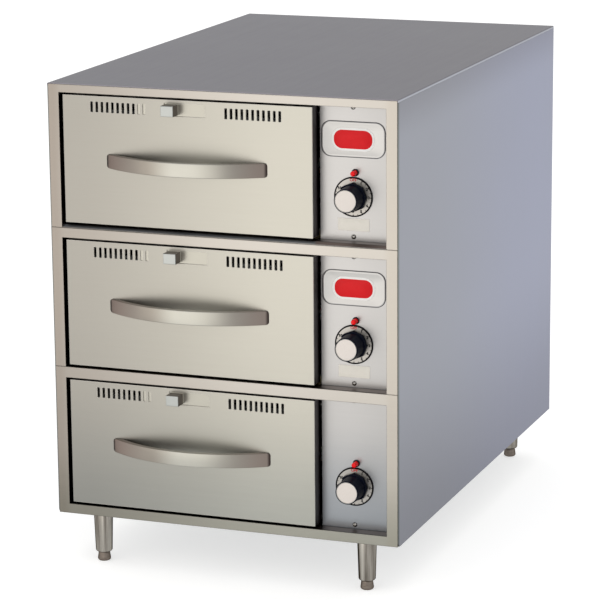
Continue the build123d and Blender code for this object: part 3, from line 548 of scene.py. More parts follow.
# Which finish each node of the frame gets: the first one here that its name starts with.
NODE_FINISHES = {
    "top_panel": TOP_STEEL,
    "side_panel": SIDE_STEEL,
    "back_panel": BACK_STEEL,
    "bottom_panel": INNER_STEEL,
    "tier_frame_top": TOP_FRAME_STEEL,
    "tier_frame": FRAME_STEEL,
    "drawer_tunnels": INNER_STEEL,
    "heating_elements": ELEMENT_SHEATH,
    "slide_tracks": INNER_STEEL,
    "control_panels": PANEL_STEEL,
    "thermostats": THERMOSTAT_BODY,
    "thermostat_bulbs": BULB_COPPER,
    "terminal_block": STEATITE,
    "wiring_harness": WIRE_SLEEVE,
    "cord_gland": GLAND_NYLON,
    "drawer_front": DRAWER_STEEL,
    "drawer_carriage": INNER_STEEL,
    "vent_slide": TAB_STEEL,
    "pan": PAN_STEEL,
    "cabinet_rollers": ROLLER_NYLON,
    "drawer_rollers": ROLLER_NYLON,
    "knob_shaft": SHAFT_STEEL,
}


def grid_faces(rows: int, columns: int) -> np.ndarray:
    """The faces of a grid of points whose columns close into a ring.

    Face (i, j) joins points (i, j), (i, j + 1), (i + 1, j + 1) and (i + 1, j), with j + 1 taken
    round the ring.

    Args:
        rows: How many rings there are.
        columns: How many points a ring has.

    Returns:
        Four point numbers per face.
    """
    row = np.arange(rows - 1)[:, None] * columns
    near = np.arange(columns)[None, :]
    far = (near + 1) % columns
    corners = (row + near, row + far, row + columns + far, row + columns + near)
    return np.stack(corners, axis=-1).reshape(-1, 4)


def merge(mesh: bpy.types.Mesh, outwards: bool = True) -> None:
    """Merge the points of a mesh that coincide.

    Args:
        mesh: The mesh to change.
        outwards: Whether its faces are then turned outwards, as on a closed shape.
    """
    work = bmesh.new()
    work.from_mesh(mesh)
    bmesh.ops.remove_doubles(work, verts=work.verts, dist=MERGE_DISTANCE)
    if outwards:
        bmesh.ops.recalc_face_normals(work, faces=work.faces)
    work.to_mesh(mesh)
    work.free()


def skin(name: str, grids: list[np.ndarray], finish: Finish, body: str,
         sharp: float = 38.0) -> bpy.types.Object:
    """Make one piece from closed grids of points.

    Rings that shrink to a point or a line are merged there, so poles and ends are closed.

    Args:
        name: The piece's name.
        grids: Arrays of (rows, columns, 3) points.
        finish: What it is made of.
        body: The body that it moves with.
        sharp: Edges that turn by more degrees than this stay sharp.

    Returns:
        The new object, riding on its body.
    """
    starts = np.cumsum([0] + [grid.shape[0] * grid.shape[1] for grid in grids[:-1]])
    points = np.concatenate([grid.reshape(-1, 3) for grid in grids])
    faces = np.concatenate([grid_faces(*grid.shape[:2]) + start for grid, start in zip(grids, starts)])
    mesh = bpy.data.meshes.new(name)
    mesh.from_pydata(points.tolist(), [], faces.tolist())
    return finished(name, mesh, finish, body, sharp)


def finished(name: str, mesh: bpy.types.Mesh, finish: Finish, body: str,
             sharp: float) -> bpy.types.Object:
    """Close a mesh, turn its faces outwards, give it its finish and put it on its body.

    Args:
        name: The piece's name.
        mesh: Its mesh, in place.
        finish: What it is made of.
        body: The body that it moves with.
        sharp: Edges that turn by more degrees than this stay sharp.

    Returns:
        The new object.
    """
    merge(mesh)
    mesh.shade_smooth()
    mesh.set_sharp_from_angle(angle=math.radians(sharp))
    mesh.materials.append(finish.material())
    piece = bpy.data.objects.new(name, mesh)
    bpy.context.scene.collection.objects.link(piece)
    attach(piece, body)
    log.info("%s: %d faces, %s, on %s", name, len(mesh.polygons), finish.name, body)
    return piece


def turned(profile: list[tuple[float, float]], centre: Vector, axis: Axis, around: int = 72) -> np.ndarray:
    """A round surface: a profile of (radius, height) pairs carried round an axis.

    Point (i, j) = centre + height i along the axis + radius i times (sin t j, cos t j) in the plane
    across it, with t j evenly spaced over a full turn.

    Args:
        profile: Radii and heights along the axis, in metres.
        centre: Where the heights start from.
        axis: The axis that it goes round: backwards or up.
        around: Points in each ring.

    Returns:
        The grid of points.
    """
    radius, height = np.array(profile).T[:, :, None]
    turn = np.linspace(0, 2 * np.pi, around, endpoint=False)[None, :]
    first = radius * np.sin(turn)
    second = radius * np.cos(turn)
    along = height + 0 * turn
    ordered = (first, along, second) if axis is Axis.BACK else (first, second, along)
    return np.stack(ordered, axis=-1) + np.array(centre)


def arc(centre: tuple[float, float], radius: float, start: float, end: float,
        points: int = 6) -> list[tuple[float, float]]:
    """Points on a circle: centre + radius (cos a, sin a), with a from start to end in degrees.

    Args:
        centre: The circle's middle.
        radius: Its radius.
        start: The first point's angle.
        end: The last point's angle.
        points: How many there are.

    Returns:
        The list of points.
    """
    angle = np.radians(np.linspace(start, end, points))
    ring = np.stack((centre[0] + radius * np.cos(angle), centre[1] + radius * np.sin(angle)), axis=-1)
    return [tuple(point) for point in ring.tolist()]


def rounded_outline(width: np.ndarray, height: np.ndarray, radius: np.ndarray, corner: int) -> np.ndarray:
    """Rectangles with rounded corners, one for each row of widths, heights and radii.

    Each corner is a quarter circle about (width / 2 - radius, height / 2 - radius), mirrored into
    the four quarters.

    Args:
        width: Full widths, one per row.
        height: Full heights, one per row.
        radius: Corner radii, one per row.
        corner: Points on each corner.

    Returns:
        An array of (rows, 4 * corner, 2) points.
    """
    quarter = np.arange(4)[:, None] * 90 + np.linspace(0, 90, corner)[None, :]
    angle = np.radians(quarter).reshape(-1)[None, :]
    side = np.repeat([[1, 1], [-1, 1], [-1, -1], [1, -1]], corner, axis=0)
    first = side[:, 0] * (width / 2 - radius)[:, None] + radius[:, None] * np.cos(angle)
    second = side[:, 1] * (height / 2 - radius)[:, None] + radius[:, None] * np.sin(angle)
    return np.stack((first, second), axis=-1)


def slab(centre: Vector, width: float, height: float, radius: float,
         profile: list[tuple[float, float]], corner: int = 10) -> np.ndarray:
    """A rounded plate that faces forwards, as rings of one outline drawn in step by step.

    Ring i is the outline of (width - 2 inset i, height - 2 inset i) at depth i, and its corner
    radius is drawn in alike.

    Args:
        centre: The middle of the outline, at the depth that the profile starts from.
        width: Its width.
        height: Its height.
        radius: Its corner radius.
        profile: Pairs of (inset, depth), from the back round to the front.
        corner: Points on each corner.

    Returns:
        The grid of points, closed at both ends by a ring shrunk to nothing.
    """
    inset, depth = np.array(profile).T
    drawn_in = np.maximum(radius - inset, 0.1 * MM)
    ring = rounded_outline(width - 2 * inset, height - 2 * inset, drawn_in, corner)
    ring = np.concatenate((ring[:1] * 0, ring, ring[-1:] * 0))
    depth = np.concatenate((depth[:1], depth, depth[-1:]))
    level = np.repeat(depth[:, None], ring.shape[1], axis=1)
    return np.stack((ring[..., 0], level, ring[..., 1]), axis=-1) + np.array(centre)


def lettering(marks: list[tuple[str, float, Matrix]], bold: float) -> bpy.types.Mesh:
    """Flat characters as one mesh.

    Args:
        marks: The characters, their height in metres, and where they stand.
        bold: How far their outlines are swollen, in metres.

    Returns:
        A mesh of thin solid characters.
    """
    work = bmesh.new()
    for characters, height, place in marks:
        curve = bpy.data.curves.new("mark", "FONT")
        curve.body = characters
        curve.size = height
        curve.align_x = "CENTER"
        curve.align_y = "CENTER"
        curve.extrude = INK_DEPTH
        curve.offset = bold
        carrier = bpy.data.objects.new("mark", curve)
        bpy.context.scene.collection.objects.link(carrier)
        flat = bpy.data.meshes.new_from_object(carrier)
        flat.transform(place)
        work.from_mesh(flat)
        bpy.data.objects.remove(carrier)
        bpy.data.curves.remove(curve)
        bpy.data.meshes.remove(flat)
    mesh = bpy.data.meshes.new("marks")
    work.to_mesh(mesh)
    work.free()
    return mesh


def middle(node: str) -> Vector:
    """The middle of a node's box."""
    low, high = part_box(node)
    return (low + high) / 2


@dataclass
class Cabinet:
    """The sheets and everything fixed inside them: finishes on the frame's nodes, screws, blankets."""

    screw_radius: float = 3.4 * MM
    screw_height: float = 2.5 * MM
    screw_rings: int = 22
    screw_points: int = 72
    dome_power: float = 2.4
    dome_step: float = 0.15
    recess_width: float = 0.55 * MM
    recess_slope: float = 0.3 * MM
    recess_reach: float = 2.1 * MM
    recess_run_out: float = 0.5 * MM
    recess_depth: float = 0.9 * MM
    panel_screw_levels: tuple[float, float] = (5.5 * MM, 185.5 * MM)
    rear_screw_x: float = 251 * MM
    rear_screw_levels: tuple[float, ...] = (116 * MM, 251 * MM, 386 * MM, 521 * MM, 666 * MM)
    sheet: float = 1.2 * MM
    roof_level: float = 176.2 * MM
    ceiling_level: float = 9.8 * MM
    side_drop: float = 20.8 * MM
    blanket_gap: float = 1 * MM
    blanket_swell: float = 1.6 * MM
    blanket_corner: float = 5 * MM
    blanket_rings: int = 60
    blanket_points: int = 96
    blanket_end: float = 0.03
    blanket_draw: float = 0.10
    waves: tuple[tuple[float, ...], ...] = ((41, 23, 0, 0), (77, -61, 0, 1), (19, 0, 90, 2))

    def dress(self) -> None:
        """Give every node of the frame its finish."""
        for name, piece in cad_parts.items():
            finish = next((f for start, f in NODE_FINISHES.items() if name.startswith(start)), None)
            if finish is not None:
                for place in piece.material_slots:
                    place.material = finish.material()
                log.info("%s: %s", name, finish.name)

    def screw(self, place: Vector, outwards: int) -> np.ndarray:
        """One domed head with a cross recess.

        The dome's height is h (1 - (r / R)^p), plus a small step s h r / R that stands up at the rim,
        and the recess is cut where |x| or |z| is under its half width, fading out at its reach.

        Args:
            place: The middle of the head's underside.
            outwards: -1 for a head that stands forwards, 1 for one that stands backwards.

        Returns:
            The grid of points.
        """
        share = np.concatenate(([0.0, 1.0], np.linspace(1, 0, self.screw_rings)))[:, None]
        turn = np.linspace(0, 2 * np.pi, self.screw_points, endpoint=False)[None, :]
        x = self.screw_radius * share * np.sin(turn)
        z = self.screw_radius * share * np.cos(turn)
        height = self.screw_height * (1 - share ** self.dome_power)
        upper = np.arange(len(share))[:, None] > 1
        height = height + self.dome_step * self.screw_height * upper * share
        arm = np.minimum(np.abs(x), np.abs(z))
        cut = np.clip((self.recess_width - arm) / self.recess_slope, 0, 1)
        cut = cut * np.clip((self.recess_reach - np.hypot(x, z)) / self.recess_run_out, 0, 1)
        height = np.maximum(height - self.recess_depth * cut, 0)
        return np.stack((x, outwards * height, z), axis=-1) + np.array(place)

    def screws(self) -> None:
        """The panel screws, two per control panel, and the back panel's."""
        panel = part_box("control_panels")[0].y
        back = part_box("back_panel")[1].y
        x = middle("knob_top").x
        grids = [self.screw(Vector((x, panel, tier_floor(tier) + level)), -1)
                 for tier in Tier for level in self.panel_screw_levels]
        grids += [self.screw(Vector((side * self.rear_screw_x, back, level)), 1)
                  for side in (-1, 1) for level in self.rear_screw_levels]
        piece = skin("domed_screws", grids, SCREW_STEEL, "cabinet", 30)
        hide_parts("panel_screws")

    def blanket(self, low: Vector, high: Vector) -> np.ndarray:
        """One blanket: a box whose faces bulge and sink a little.

        The box is rings of a rounded rectangle along its longest side, drawn in a little at the ends.
        Each point moves along its ring's radius by the mean of the slow sine waves
        sin(a along + b first + c second + d), with first and second its place in the ring.

        Args:
            low: The lowest corner.
            high: The highest corner.

        Returns:
            The grid of points.
        """
        size = np.array(high - low)
        centre = np.array(low + high) / 2
        long, first, second = np.argsort(-size)
        inset = self.blanket_swell
        steps = np.linspace(-0.5, 0.5, self.blanket_rings)
        past = np.maximum(np.abs(steps) * 2 - (1 - self.blanket_end), 0)
        draw = 1 - self.blanket_draw * past / self.blanket_end
        width = (size[first] - 2 * inset) * draw
        height = (size[second] - 2 * inset) * draw
        radius = np.full(len(steps), min(self.blanket_corner, size[second] / 2 - inset - 0.1 * MM))
        ring = self.filled(rounded_outline(width, height, radius, 5))
        along = np.repeat(((size[long] - 2 * inset) * steps)[:, None], ring.shape[1], axis=1)
        wave = sum(np.sin(along * a + ring[..., 0] * b + ring[..., 1] * c + d)
                   for a, b, c, d in self.waves) / len(self.waves)
        reach = np.hypot(ring[..., 0], ring[..., 1])[..., None]
        ring = ring * (1 + inset * wave[..., None] / reach)
        points = np.zeros((*along.shape, 3))
        points[..., long] = along
        points[..., first] = ring[..., 0]
        points[..., second] = ring[..., 1]
        points = np.concatenate((points[:1], points, points[-1:]))
        for end in (0, -1):
            points[end, :, [first, second]] = 0
        return points + centre

    def filled(self, ring: np.ndarray) -> np.ndarray:
        """Add points on the straight sides of each outline, evenly between its corners."""
        closed = np.concatenate((ring, ring[:, :1]), axis=1)
        length = np.linalg.norm(np.diff(closed, axis=1), axis=-1)[0]
        place = np.concatenate(([0.0], np.cumsum(length)))
        even = np.linspace(0, place[-1], self.blanket_points, endpoint=False)
        wanted = np.unique(np.concatenate((place[:-1], even)))
        spot = np.clip(np.searchsorted(place, wanted, side="right") - 1, 0, len(place) - 2)
        tiny = 1e-9
        share = ((wanted - place[spot]) / np.maximum(place[spot + 1] - place[spot], tiny))[None, :, None]
        return closed[:, spot] * (1 - share) + closed[:, spot + 1] * share

    def blankets(self) -> None:
        """The wool beside, behind and above the tunnels, in the space of the frame's solids."""
        low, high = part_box("insulation_blankets")
        wall_low, wall_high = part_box("drawer_tunnels")
        gap = self.blanket_gap
        left, right = wall_low.x + self.sheet, wall_high.x - self.sheet
        back = wall_high.y - self.sheet
        top = high.z - self.side_drop
        spaces = [
            (Vector((low.x, low.y, low.z)), Vector((wall_low.x - gap, back, top))),
            (Vector((left, wall_high.y + gap, low.z)), Vector((right, high.y, top))),
        ]
        floors = [tier_floor(tier) for tier in Tier]
        ceilings = [floor + self.ceiling_level for floor in floors[1:]] + [high.z]
        for floor, ceiling in zip(floors, ceilings):
            spaces.append((Vector((left, low.y, floor + self.roof_level)), Vector((right, back, ceiling))))
        grids = [self.blanket(*space) for space in spaces]
        piece = skin("mineral_wool", grids, MINERAL_WOOL, "cabinet", 60)
        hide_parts("insulation_blankets")


@dataclass
class Controls:
    """One tier's dial, knob and pilot lamp, and on the upper two tiers a badge and a blank plate."""

    tier: Tier
    dial_rim: float = 2.1 * MM
    dial_ease: float = 0.4 * MM
    dial_sink: float = 0.25 * MM
    bush_radius: float = 5.8 * MM
    tick_count: int = 21
    tick_span: float = 300.0
    tick_reach: float = 1.3 * MM
    tick_halves: tuple[float, float] = (0.70 * MM, 0.40 * MM)
    numbers: int = 10
    number_ring: float = 22.7 * MM
    number_height: float = 5.2 * MM
    number_bold: float = 0.36 * MM
    off_lift: float = 0.9 * MM
    off_growth: float = 1.1
    skirt_radius: float = 20.6 * MM
    skirt_depth: float = 5.0 * MM
    grip_radius: float = 17.4 * MM
    grip_fillet: float = 1.6 * MM
    tip_radius: float = 16.7 * MM
    tip_ease: float = 1.0 * MM
    cap_radius: float = 15.4 * MM
    cap_depth: float = 1.0 * MM
    cap_rim: float = 1.1 * MM
    dome_drop: float = 0.42 * MM
    dome_height: float = 0.3 * MM
    lamp_lift: float = 33.9 * MM
    lamp_neck: float = 4.6 * MM
    lamp_tail: float = 20 * MM
    bezel_radius: float = 5.2 * MM
    bezel_ease: float = 0.8 * MM
    lens_tail: float = 12 * MM
    lens_ease: float = 1.9 * MM
    badge_lift: float = 79.6 * MM
    badge_size: tuple[float, float, float] = (93 * MM, 50 * MM, 14 * MM)
    badge_edge: float = 0.9 * MM
    badge_ease: float = 0.4 * MM
    field_size: tuple[float, float, float] = (62 * MM, 32 * MM, 15 * MM)
    field_border: float = 3.0 * MM
    plate_drop: float = 38.9 * MM
    plate_height: float = 17.5 * MM
    plate_radius: float = 1.5 * MM

    def build(self) -> None:
        """Make every piece of this tier's controls."""
        self.dial()
        self.ticks()
        self.characters()
        self.knob()
        self.cap()
        self.lamp()
        if self.tier in BADGED:
            self.badge()
            self.blank_plate()

    def centre(self) -> Vector:
        """The knob's axis, at the front face of the dial."""
        spot = middle(f"knob_{self.tier.value}")
        return Vector((spot.x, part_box("dial_rings")[0].y, spot.z))

    def badge_x(self) -> float:
        """The middle of the badges and plates across the panel."""
        low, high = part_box("badge_frames")
        return (low.x + high.x) / 2

    def dial(self) -> None:
        """The dial: a sunk silver face within a black raised rim, both turned about the knob's axis."""
        spot = self.centre()
        low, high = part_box("dial_rings")
        outer = (high.x - low.x) / 2
        thick = high.y - low.y
        bush, sink, ease, half = self.bush_radius, self.dial_sink, self.dial_ease, self.dial_rim / 2
        inner = outer - self.dial_rim
        face = [(bush, thick), (bush, sink), (inner, sink), (inner, thick), (bush, thick)]
        rim = [(inner, thick), (inner, sink), *arc((inner + half, sink), half, 180, 270, 5),
               *arc((outer - ease, ease), ease, 270, 360, 4), (outer, thick), (inner, thick)]
        rim = [(radius, max(depth, 0.0)) for radius, depth in rim]
        plate = skin(f"dial_face_{self.tier.value}", [turned(face, spot, Axis.BACK, 120)], DIAL_METAL,
                     "cabinet")
        skin(f"dial_rim_{self.tier.value}", [turned(rim, spot, Axis.BACK, 120)], DIAL_BLACK, "cabinet")
        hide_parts("dial_rings")

    def ticks(self) -> None:
        """Short bars inwards from the dial's rim, clockwise from the top, every second one bold.

        Bar i is a flat box from the rim to the reach, along (sin t i, cos t i) with t i evenly spaced
        over the span, and its half width lies along (cos t i, -sin t i).
        """
        spot = self.centre()
        low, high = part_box("dial_rings")
        outer = (high.x - low.x) / 2 - self.dial_rim
        turn = np.radians(np.linspace(0, self.tick_span, self.tick_count)[1:])
        out = np.stack((np.sin(turn), 0 * turn, np.cos(turn)), axis=-1)
        across = np.stack((np.cos(turn), 0 * turn, -np.sin(turn)), axis=-1)
        back = np.array([0, 1, 0])
        bold = np.where(np.arange(1, self.tick_count) % 2 == 0, *self.tick_halves)[:, None]
        base = np.array(spot) + out * (outer + 0.1 * MM)
        tip = np.array(spot) + out * (outer - self.tick_reach)
        half = across * bold
        ring = np.stack((base - half, base + half, tip + half, tip - half), axis=1)
        top = ring + back * (self.dial_sink - 0.06 * MM)
        bottom = ring + back * (self.dial_sink + 0.1 * MM)
        grids = [np.stack((b.mean(0) + 0 * b, b, t, t.mean(0) + 0 * t)) for b, t in zip(bottom, top)]
        skin(f"dial_ticks_{self.tier.value}", grids, DIAL_BLACK, "cabinet", 20)

    def characters(self) -> None:
        """The numbers round the dial, clockwise from OFF at the top."""
        spot = self.centre()
        front = self.dial_sink
        facing = Matrix.Rotation(math.radians(90), 4, "X")
        marks = []
        for number in range(1, self.numbers + 1):
            angle = math.radians(self.tick_span / self.numbers * number)
            offset = Vector((math.sin(angle), 0, math.cos(angle))) * self.number_ring
            place = Matrix.Translation(spot + offset + Vector((0, front, 0))) @ facing
            marks.append((str(number), self.number_height, place))
        name = f"dial_numbers_{self.tier.value}"
        finished(name, lettering(marks, self.number_bold), DIAL_BLACK, "cabinet", 20)
        place = Matrix.Translation(spot + Vector((0, front, self.number_ring + self.off_lift))) @ facing
        marks = [("OFF", self.off_growth * self.number_height, place)]
        name = f"dial_off_{self.tier.value}"
        finished(name, lettering(marks, self.number_bold / 2), DIAL_RED, "cabinet", 20)

    def knob(self) -> None:
        """The knob: an eight-sided skirt that runs up into a round, slightly tapered grip.

        Each ring's radius is mixed between a circle r and the octagon's r cos(22.5) / cos(a), with a
        the angle from the nearest flat's middle. The skirt's corners point up, down and sideways.
        """
        low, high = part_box(f"knob_{self.tier.value}")
        spot = Vector((self.centre().x, low.y, self.centre().z))
        length = high.y - low.y
        collar = length - self.skirt_depth
        skirt, fillet, ease = self.skirt_radius, self.grip_fillet, self.tip_ease
        rows = [(0.0, length, 0), (skirt, length, 1), (skirt, collar + 0.6 * MM, 1),
                (skirt - 0.2 * MM, collar + 0.2 * MM, 1), (skirt - 0.7 * MM, collar, 1)]
        bend = arc((self.grip_radius + fillet, collar - fillet), fillet, 90, 180, 6)
        tip = arc((self.tip_radius - ease, ease), ease, 0, -90, 6)
        seat = self.cap_radius + 0.05 * MM
        bottom = self.cap_depth + 0.2 * MM
        grip = [*bend, (self.tip_radius + 0.1 * MM, 3 * MM), *tip, (seat, 0.05 * MM), (seat, bottom),
                (0.0, bottom)]
        rows += [(radius, depth, 0) for radius, depth in grip]
        radius, depth, weight = np.array(rows).T[:, :, None]
        turn = np.linspace(0, 2 * np.pi, 160, endpoint=False)[None, :]
        step = np.pi / 4
        off_flat = np.mod(turn, step) - step / 2
        octagon = math.cos(step / 2) / np.cos(off_flat)
        reach = radius * (weight * octagon + 1 - weight)
        grid = np.stack((reach * np.sin(turn), depth + 0 * turn, reach * np.cos(turn)), axis=-1)
        piece = skin(f"knob_grip_{self.tier.value}", [grid + np.array(spot)], PHENOLIC,
                     f"knob_{self.tier.value}", 30)
        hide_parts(f"knob_{self.tier.value}")

    def cap(self) -> None:
        """The knob's cap: a low dome within a bright rolled rim, both turned about the knob's axis.

        The dome's depth is the drop - its height (1 - s^2), at s times the dome's radius.
        """
        low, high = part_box(f"knob_cap_{self.tier.value}")
        spot = Vector((self.centre().x, low.y, self.centre().z))
        inner = self.cap_radius - self.cap_rim
        half = self.cap_rim / 2
        thick = high.y - low.y
        dome = [(inner * s, self.dome_drop - self.dome_height * (1 - s ** 2))
                for s in np.linspace(1, 0, 10).tolist()]
        face = [(0.0, thick), (inner, thick), *dome]
        ring = [(inner, thick), *arc((inner + half, half), half, 180, 360, 9),
                (self.cap_radius, thick), (inner, thick)]
        body = f"knob_{self.tier.value}"
        piece = skin(f"cap_face_{self.tier.value}", [turned(face, spot, Axis.BACK, 96)], CAP_LACQUER,
                     body)
        skin(f"cap_rim_{self.tier.value}", [turned(ring, spot, Axis.BACK, 96)], CAP_RIM, body)
        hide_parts(f"knob_cap_{self.tier.value}")

    def lamp(self) -> None:
        """The pilot lamp: a stepped bezel and a lens with a rounded end, turned about their axis."""
        low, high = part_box("pilot_lamp_lenses")
        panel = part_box("control_panels")[0].y
        spot = Vector(((low.x + high.x) / 2, panel, self.centre().z + self.lamp_lift))
        lens = (high.x - low.x) / 2
        bore = lens + 0.05 * MM
        bezel, neck, ease = self.bezel_radius, self.lamp_neck, self.bezel_ease
        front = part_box("pilot_lamp_bodies")[0].y - panel
        ring = [(bore, self.lens_tail), (bore, front + 0.3 * MM), (lens + 0.35 * MM, front),
                *arc((bezel - ease, front + ease), ease, 270, 360, 5), (bezel, 0.0), (neck, 0.0),
                (neck, self.lamp_tail), (bore, self.lamp_tail), (bore, self.lens_tail)]
        tip = low.y - panel
        ease = self.lens_ease
        glass = [(0.0, self.lens_tail), (lens, self.lens_tail),
                 *arc((lens - ease, tip + ease), ease, 0, -90, 8), (0.0, tip)]
        body = skin(f"lamp_bezel_{self.tier.value}", [turned(ring, spot, Axis.BACK, 48)], LAMP_NYLON,
                    "cabinet")
        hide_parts("pilot_lamp_bodies")
        cover = skin(f"lamp_lens_{self.tier.value}", [turned(glass, spot, Axis.BACK, 48)], LAMP_LENS,
                     "cabinet")
        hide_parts("pilot_lamp_lenses")

    def badge(self) -> None:
        """A bare badge: a silver plate with dark edges, and a red field in a white border on it."""
        low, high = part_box("badge_frames")
        spot = Vector((self.badge_x(), high.y, self.centre().z + self.badge_lift))
        front = low.y - high.y
        edge, ease = self.badge_edge, self.badge_ease
        width, height, radius = self.badge_size
        rim = [(0.0, 0.0), *arc((ease, front + ease), ease, 180, 270, 4), (edge, front + 0.1 * MM),
               (edge, -0.1 * MM)]
        backing = skin(f"badge_edge_{self.tier.value}", [slab(spot, width, height, radius, rim)],
                       BADGE_EDGE, "cabinet")
        face = [(0.0, -0.15 * MM), (0.0, front + 0.35 * MM), (0.35 * MM, front + 0.12 * MM),
                (2.6 * MM, front + 0.12 * MM), (3.0 * MM, front + 0.3 * MM)]
        plate = skin(f"badge_plate_{self.tier.value}",
                     [slab(spot, width - 2 * edge, height - 2 * edge, radius - edge, face)],
                     BADGE_SILVER, "cabinet")
        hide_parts("badge_frames")
        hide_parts("badge_frames")
        width, height, radius = self.field_size
        band = self.field_border
        border = [(0.0, -0.5 * MM), (0.0, front + 0.2 * MM), (0.3 * MM, front + 0.02 * MM),
                  (band, front + 0.02 * MM), (band + 0.1 * MM, front + 0.2 * MM)]
        white = skin(f"badge_border_{self.tier.value}", [slab(spot, width, height, radius, border)],
                     BADGE_WHITE, "cabinet")
        field = [(0.0, -0.6 * MM), (0.0, front + 0.25 * MM), (0.25 * MM, front + 0.1 * MM)]
        red = skin(f"badge_field_{self.tier.value}",
                   [slab(spot, width - 2 * band, height - 2 * band, radius - band, field)],
                   BADGE_RED, "cabinet")
        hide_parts("badge_fields")
        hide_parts("badge_fields")

    def blank_plate(self) -> None:
        """The bare foil plate under the dial."""
        low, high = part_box("blank_plates")
        spot = Vector((self.badge_x(), high.y, self.centre().z - self.plate_drop))
        front = low.y - high.y
        profile = [(0.0, 0.0), (0.0, front + 0.2 * MM), (0.15 * MM, front + 0.04 * MM), (0.4 * MM, front)]
        plate = skin(f"foil_plate_{self.tier.value}",
                     [slab(spot, high.x - low.x, self.plate_height, self.plate_radius, profile)],
                     PLATE_FOIL, "cabinet")
        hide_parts("blank_plates")


@dataclass
class DrawerHandle:
    """The bowed bar on one drawer: an outer and an inner arc in plan, flat on the front at its ends."""

    tier: Tier
    thickness: float = 7.0 * MM
    foot: float = 14.5 * MM
    edge: float = 1.2 * MM
    end: float = 4.5 * MM
    stations: int = 121

    def arc_depth(self, place: np.ndarray, half: float, bow: float) -> np.ndarray:
        """How far an arc stands out: sqrt(R^2 - x^2) - (R - bow), with R = (half^2 + bow^2) / (2 bow).

        Args:
            place: Distances from the middle.
            half: Half of the arc's chord.
            bow: Its height over the chord.

        Returns:
            The depths, nought beyond the chord's ends.
        """
        radius = (half ** 2 + bow ** 2) / (2 * bow)
        inside = np.sqrt(np.maximum(radius ** 2 - place ** 2, 0)) - (radius - bow)
        return np.maximum(np.where(np.abs(place) < half, inside, 0), 0)

    def build(self) -> None:
        """Carry a rounded rectangle along the bow, as deep as the arcs are apart, and ease its ends."""
        low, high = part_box(f"drawer_handle_{self.tier.value}")
        half = (high.x - low.x) / 2
        tall = high.z - low.z
        bow = high.y - low.y
        share = np.sin(np.linspace(-np.pi / 2, np.pi / 2, self.stations))
        place = half * share
        outer = self.arc_depth(place, half, bow)
        inner = self.arc_depth(place, half - self.foot, bow - self.thickness)
        past = np.maximum(np.abs(place) - (half - self.end), 0)
        height = tall - 2 * (self.end - np.sqrt(np.maximum(self.end ** 2 - past ** 2, 0)))
        depth = np.maximum(outer - inner, 0)
        radius = np.minimum(self.edge, 0.45 * depth)
        ring = rounded_outline(depth, height, radius, 6)
        centre = (outer + inner) / 2
        x = np.repeat(place[:, None], ring.shape[1], axis=1)
        grid = np.stack((x, -ring[..., 0] - centre[:, None], ring[..., 1]), axis=-1)
        grid += np.array([(low.x + high.x) / 2, high.y, (low.z + high.z) / 2])
        name = f"handle_bar_{self.tier.value}"
        piece = skin(name, [grid], HANDLE_STEEL, f"drawer_{self.tier.value}", 50)
        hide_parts(f"drawer_handle_{self.tier.value}")


@dataclass
class Stand:
    """The four tapered legs and their screw-in feet."""

    top_level: float = 76 * MM
    top_radius: float = 14 * MM
    top_ease: float = 0.6 * MM
    low_radius: float = 12.25 * MM
    length: float = 62 * MM
    bevel: float = 3 * MM
    bore_play: float = 0.06 * MM
    bore_roof: float = 22 * MM
    stud_radius: float = 4 * MM
    stud_height: float = 10 * MM
    neck_radius: float = 8.2 * MM
    foot_radius: float = 9.6 * MM
    sole_radius: float = 6.0 * MM
    foot_height: float = 13.6 * MM
    stem_radius: float = 6.0 * MM
    stem_top: float = 50 * MM

    def build(self) -> None:
        """Turn each leg and foot about its own upright axis."""
        grids = []
        for corner in CORNERS:
            foot = middle(f"foot_{corner}")
            spot = Vector((foot.x, foot.y, 0))
            grids.append(turned(self.leg_profile(), spot, Axis.UP, 64))
            piece = skin(f"levelling_foot_{corner}", [turned(self.foot_profile(), spot, Axis.UP, 64)],
                         FOOT_PLATING, f"foot_{corner}")
            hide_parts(f"foot_{corner}")
        piece = skin("tapered_legs", grids, LEG_METAL, "cabinet")
        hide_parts("legs")

    def leg_profile(self) -> list[tuple[float, float]]:
        """From the bore's roof down its wall, under the leg, up the taper and over to the stud on top."""
        top, bevel, ease, stud = self.top_level, self.bevel, self.top_ease, self.stud_radius
        low = top - self.length
        roof = top - self.bore_roof
        bore = self.stem_radius + self.bore_play
        return [(0.0, roof), (bore, roof), (bore, low), (self.low_radius - bevel, low),
                *arc((self.low_radius - bevel, low + bevel), bevel, 270, 355, 6),
                *arc((self.top_radius - ease, top - ease), ease, 5, 90, 4), (stud, top),
                (stud, top + self.stud_height), (0.0, top + self.stud_height)]

    def foot_profile(self) -> list[tuple[float, float]]:
        """From the sole's middle out round its edge, up the flare and the neck, and up the stem."""
        neck = self.foot_height
        flare = neck / 4
        ease = self.foot_radius - self.sole_radius
        sole = [(self.sole_radius + ease * math.sin(a), flare * (1 - math.cos(a)))
                for a in np.radians(np.linspace(0, 90, 7)).tolist()]
        return [(0.0, 0.0), *sole, (self.foot_radius - 0.3 * MM, flare + 2.4 * MM),
                (self.neck_radius + 0.25 * MM, neck - 2 * MM), (self.neck_radius, neck - 0.8 * MM),
                (self.neck_radius - 0.7 * MM, neck), (self.stem_radius, neck),
                (self.stem_radius, self.stem_top), (0.0, self.stem_top)]


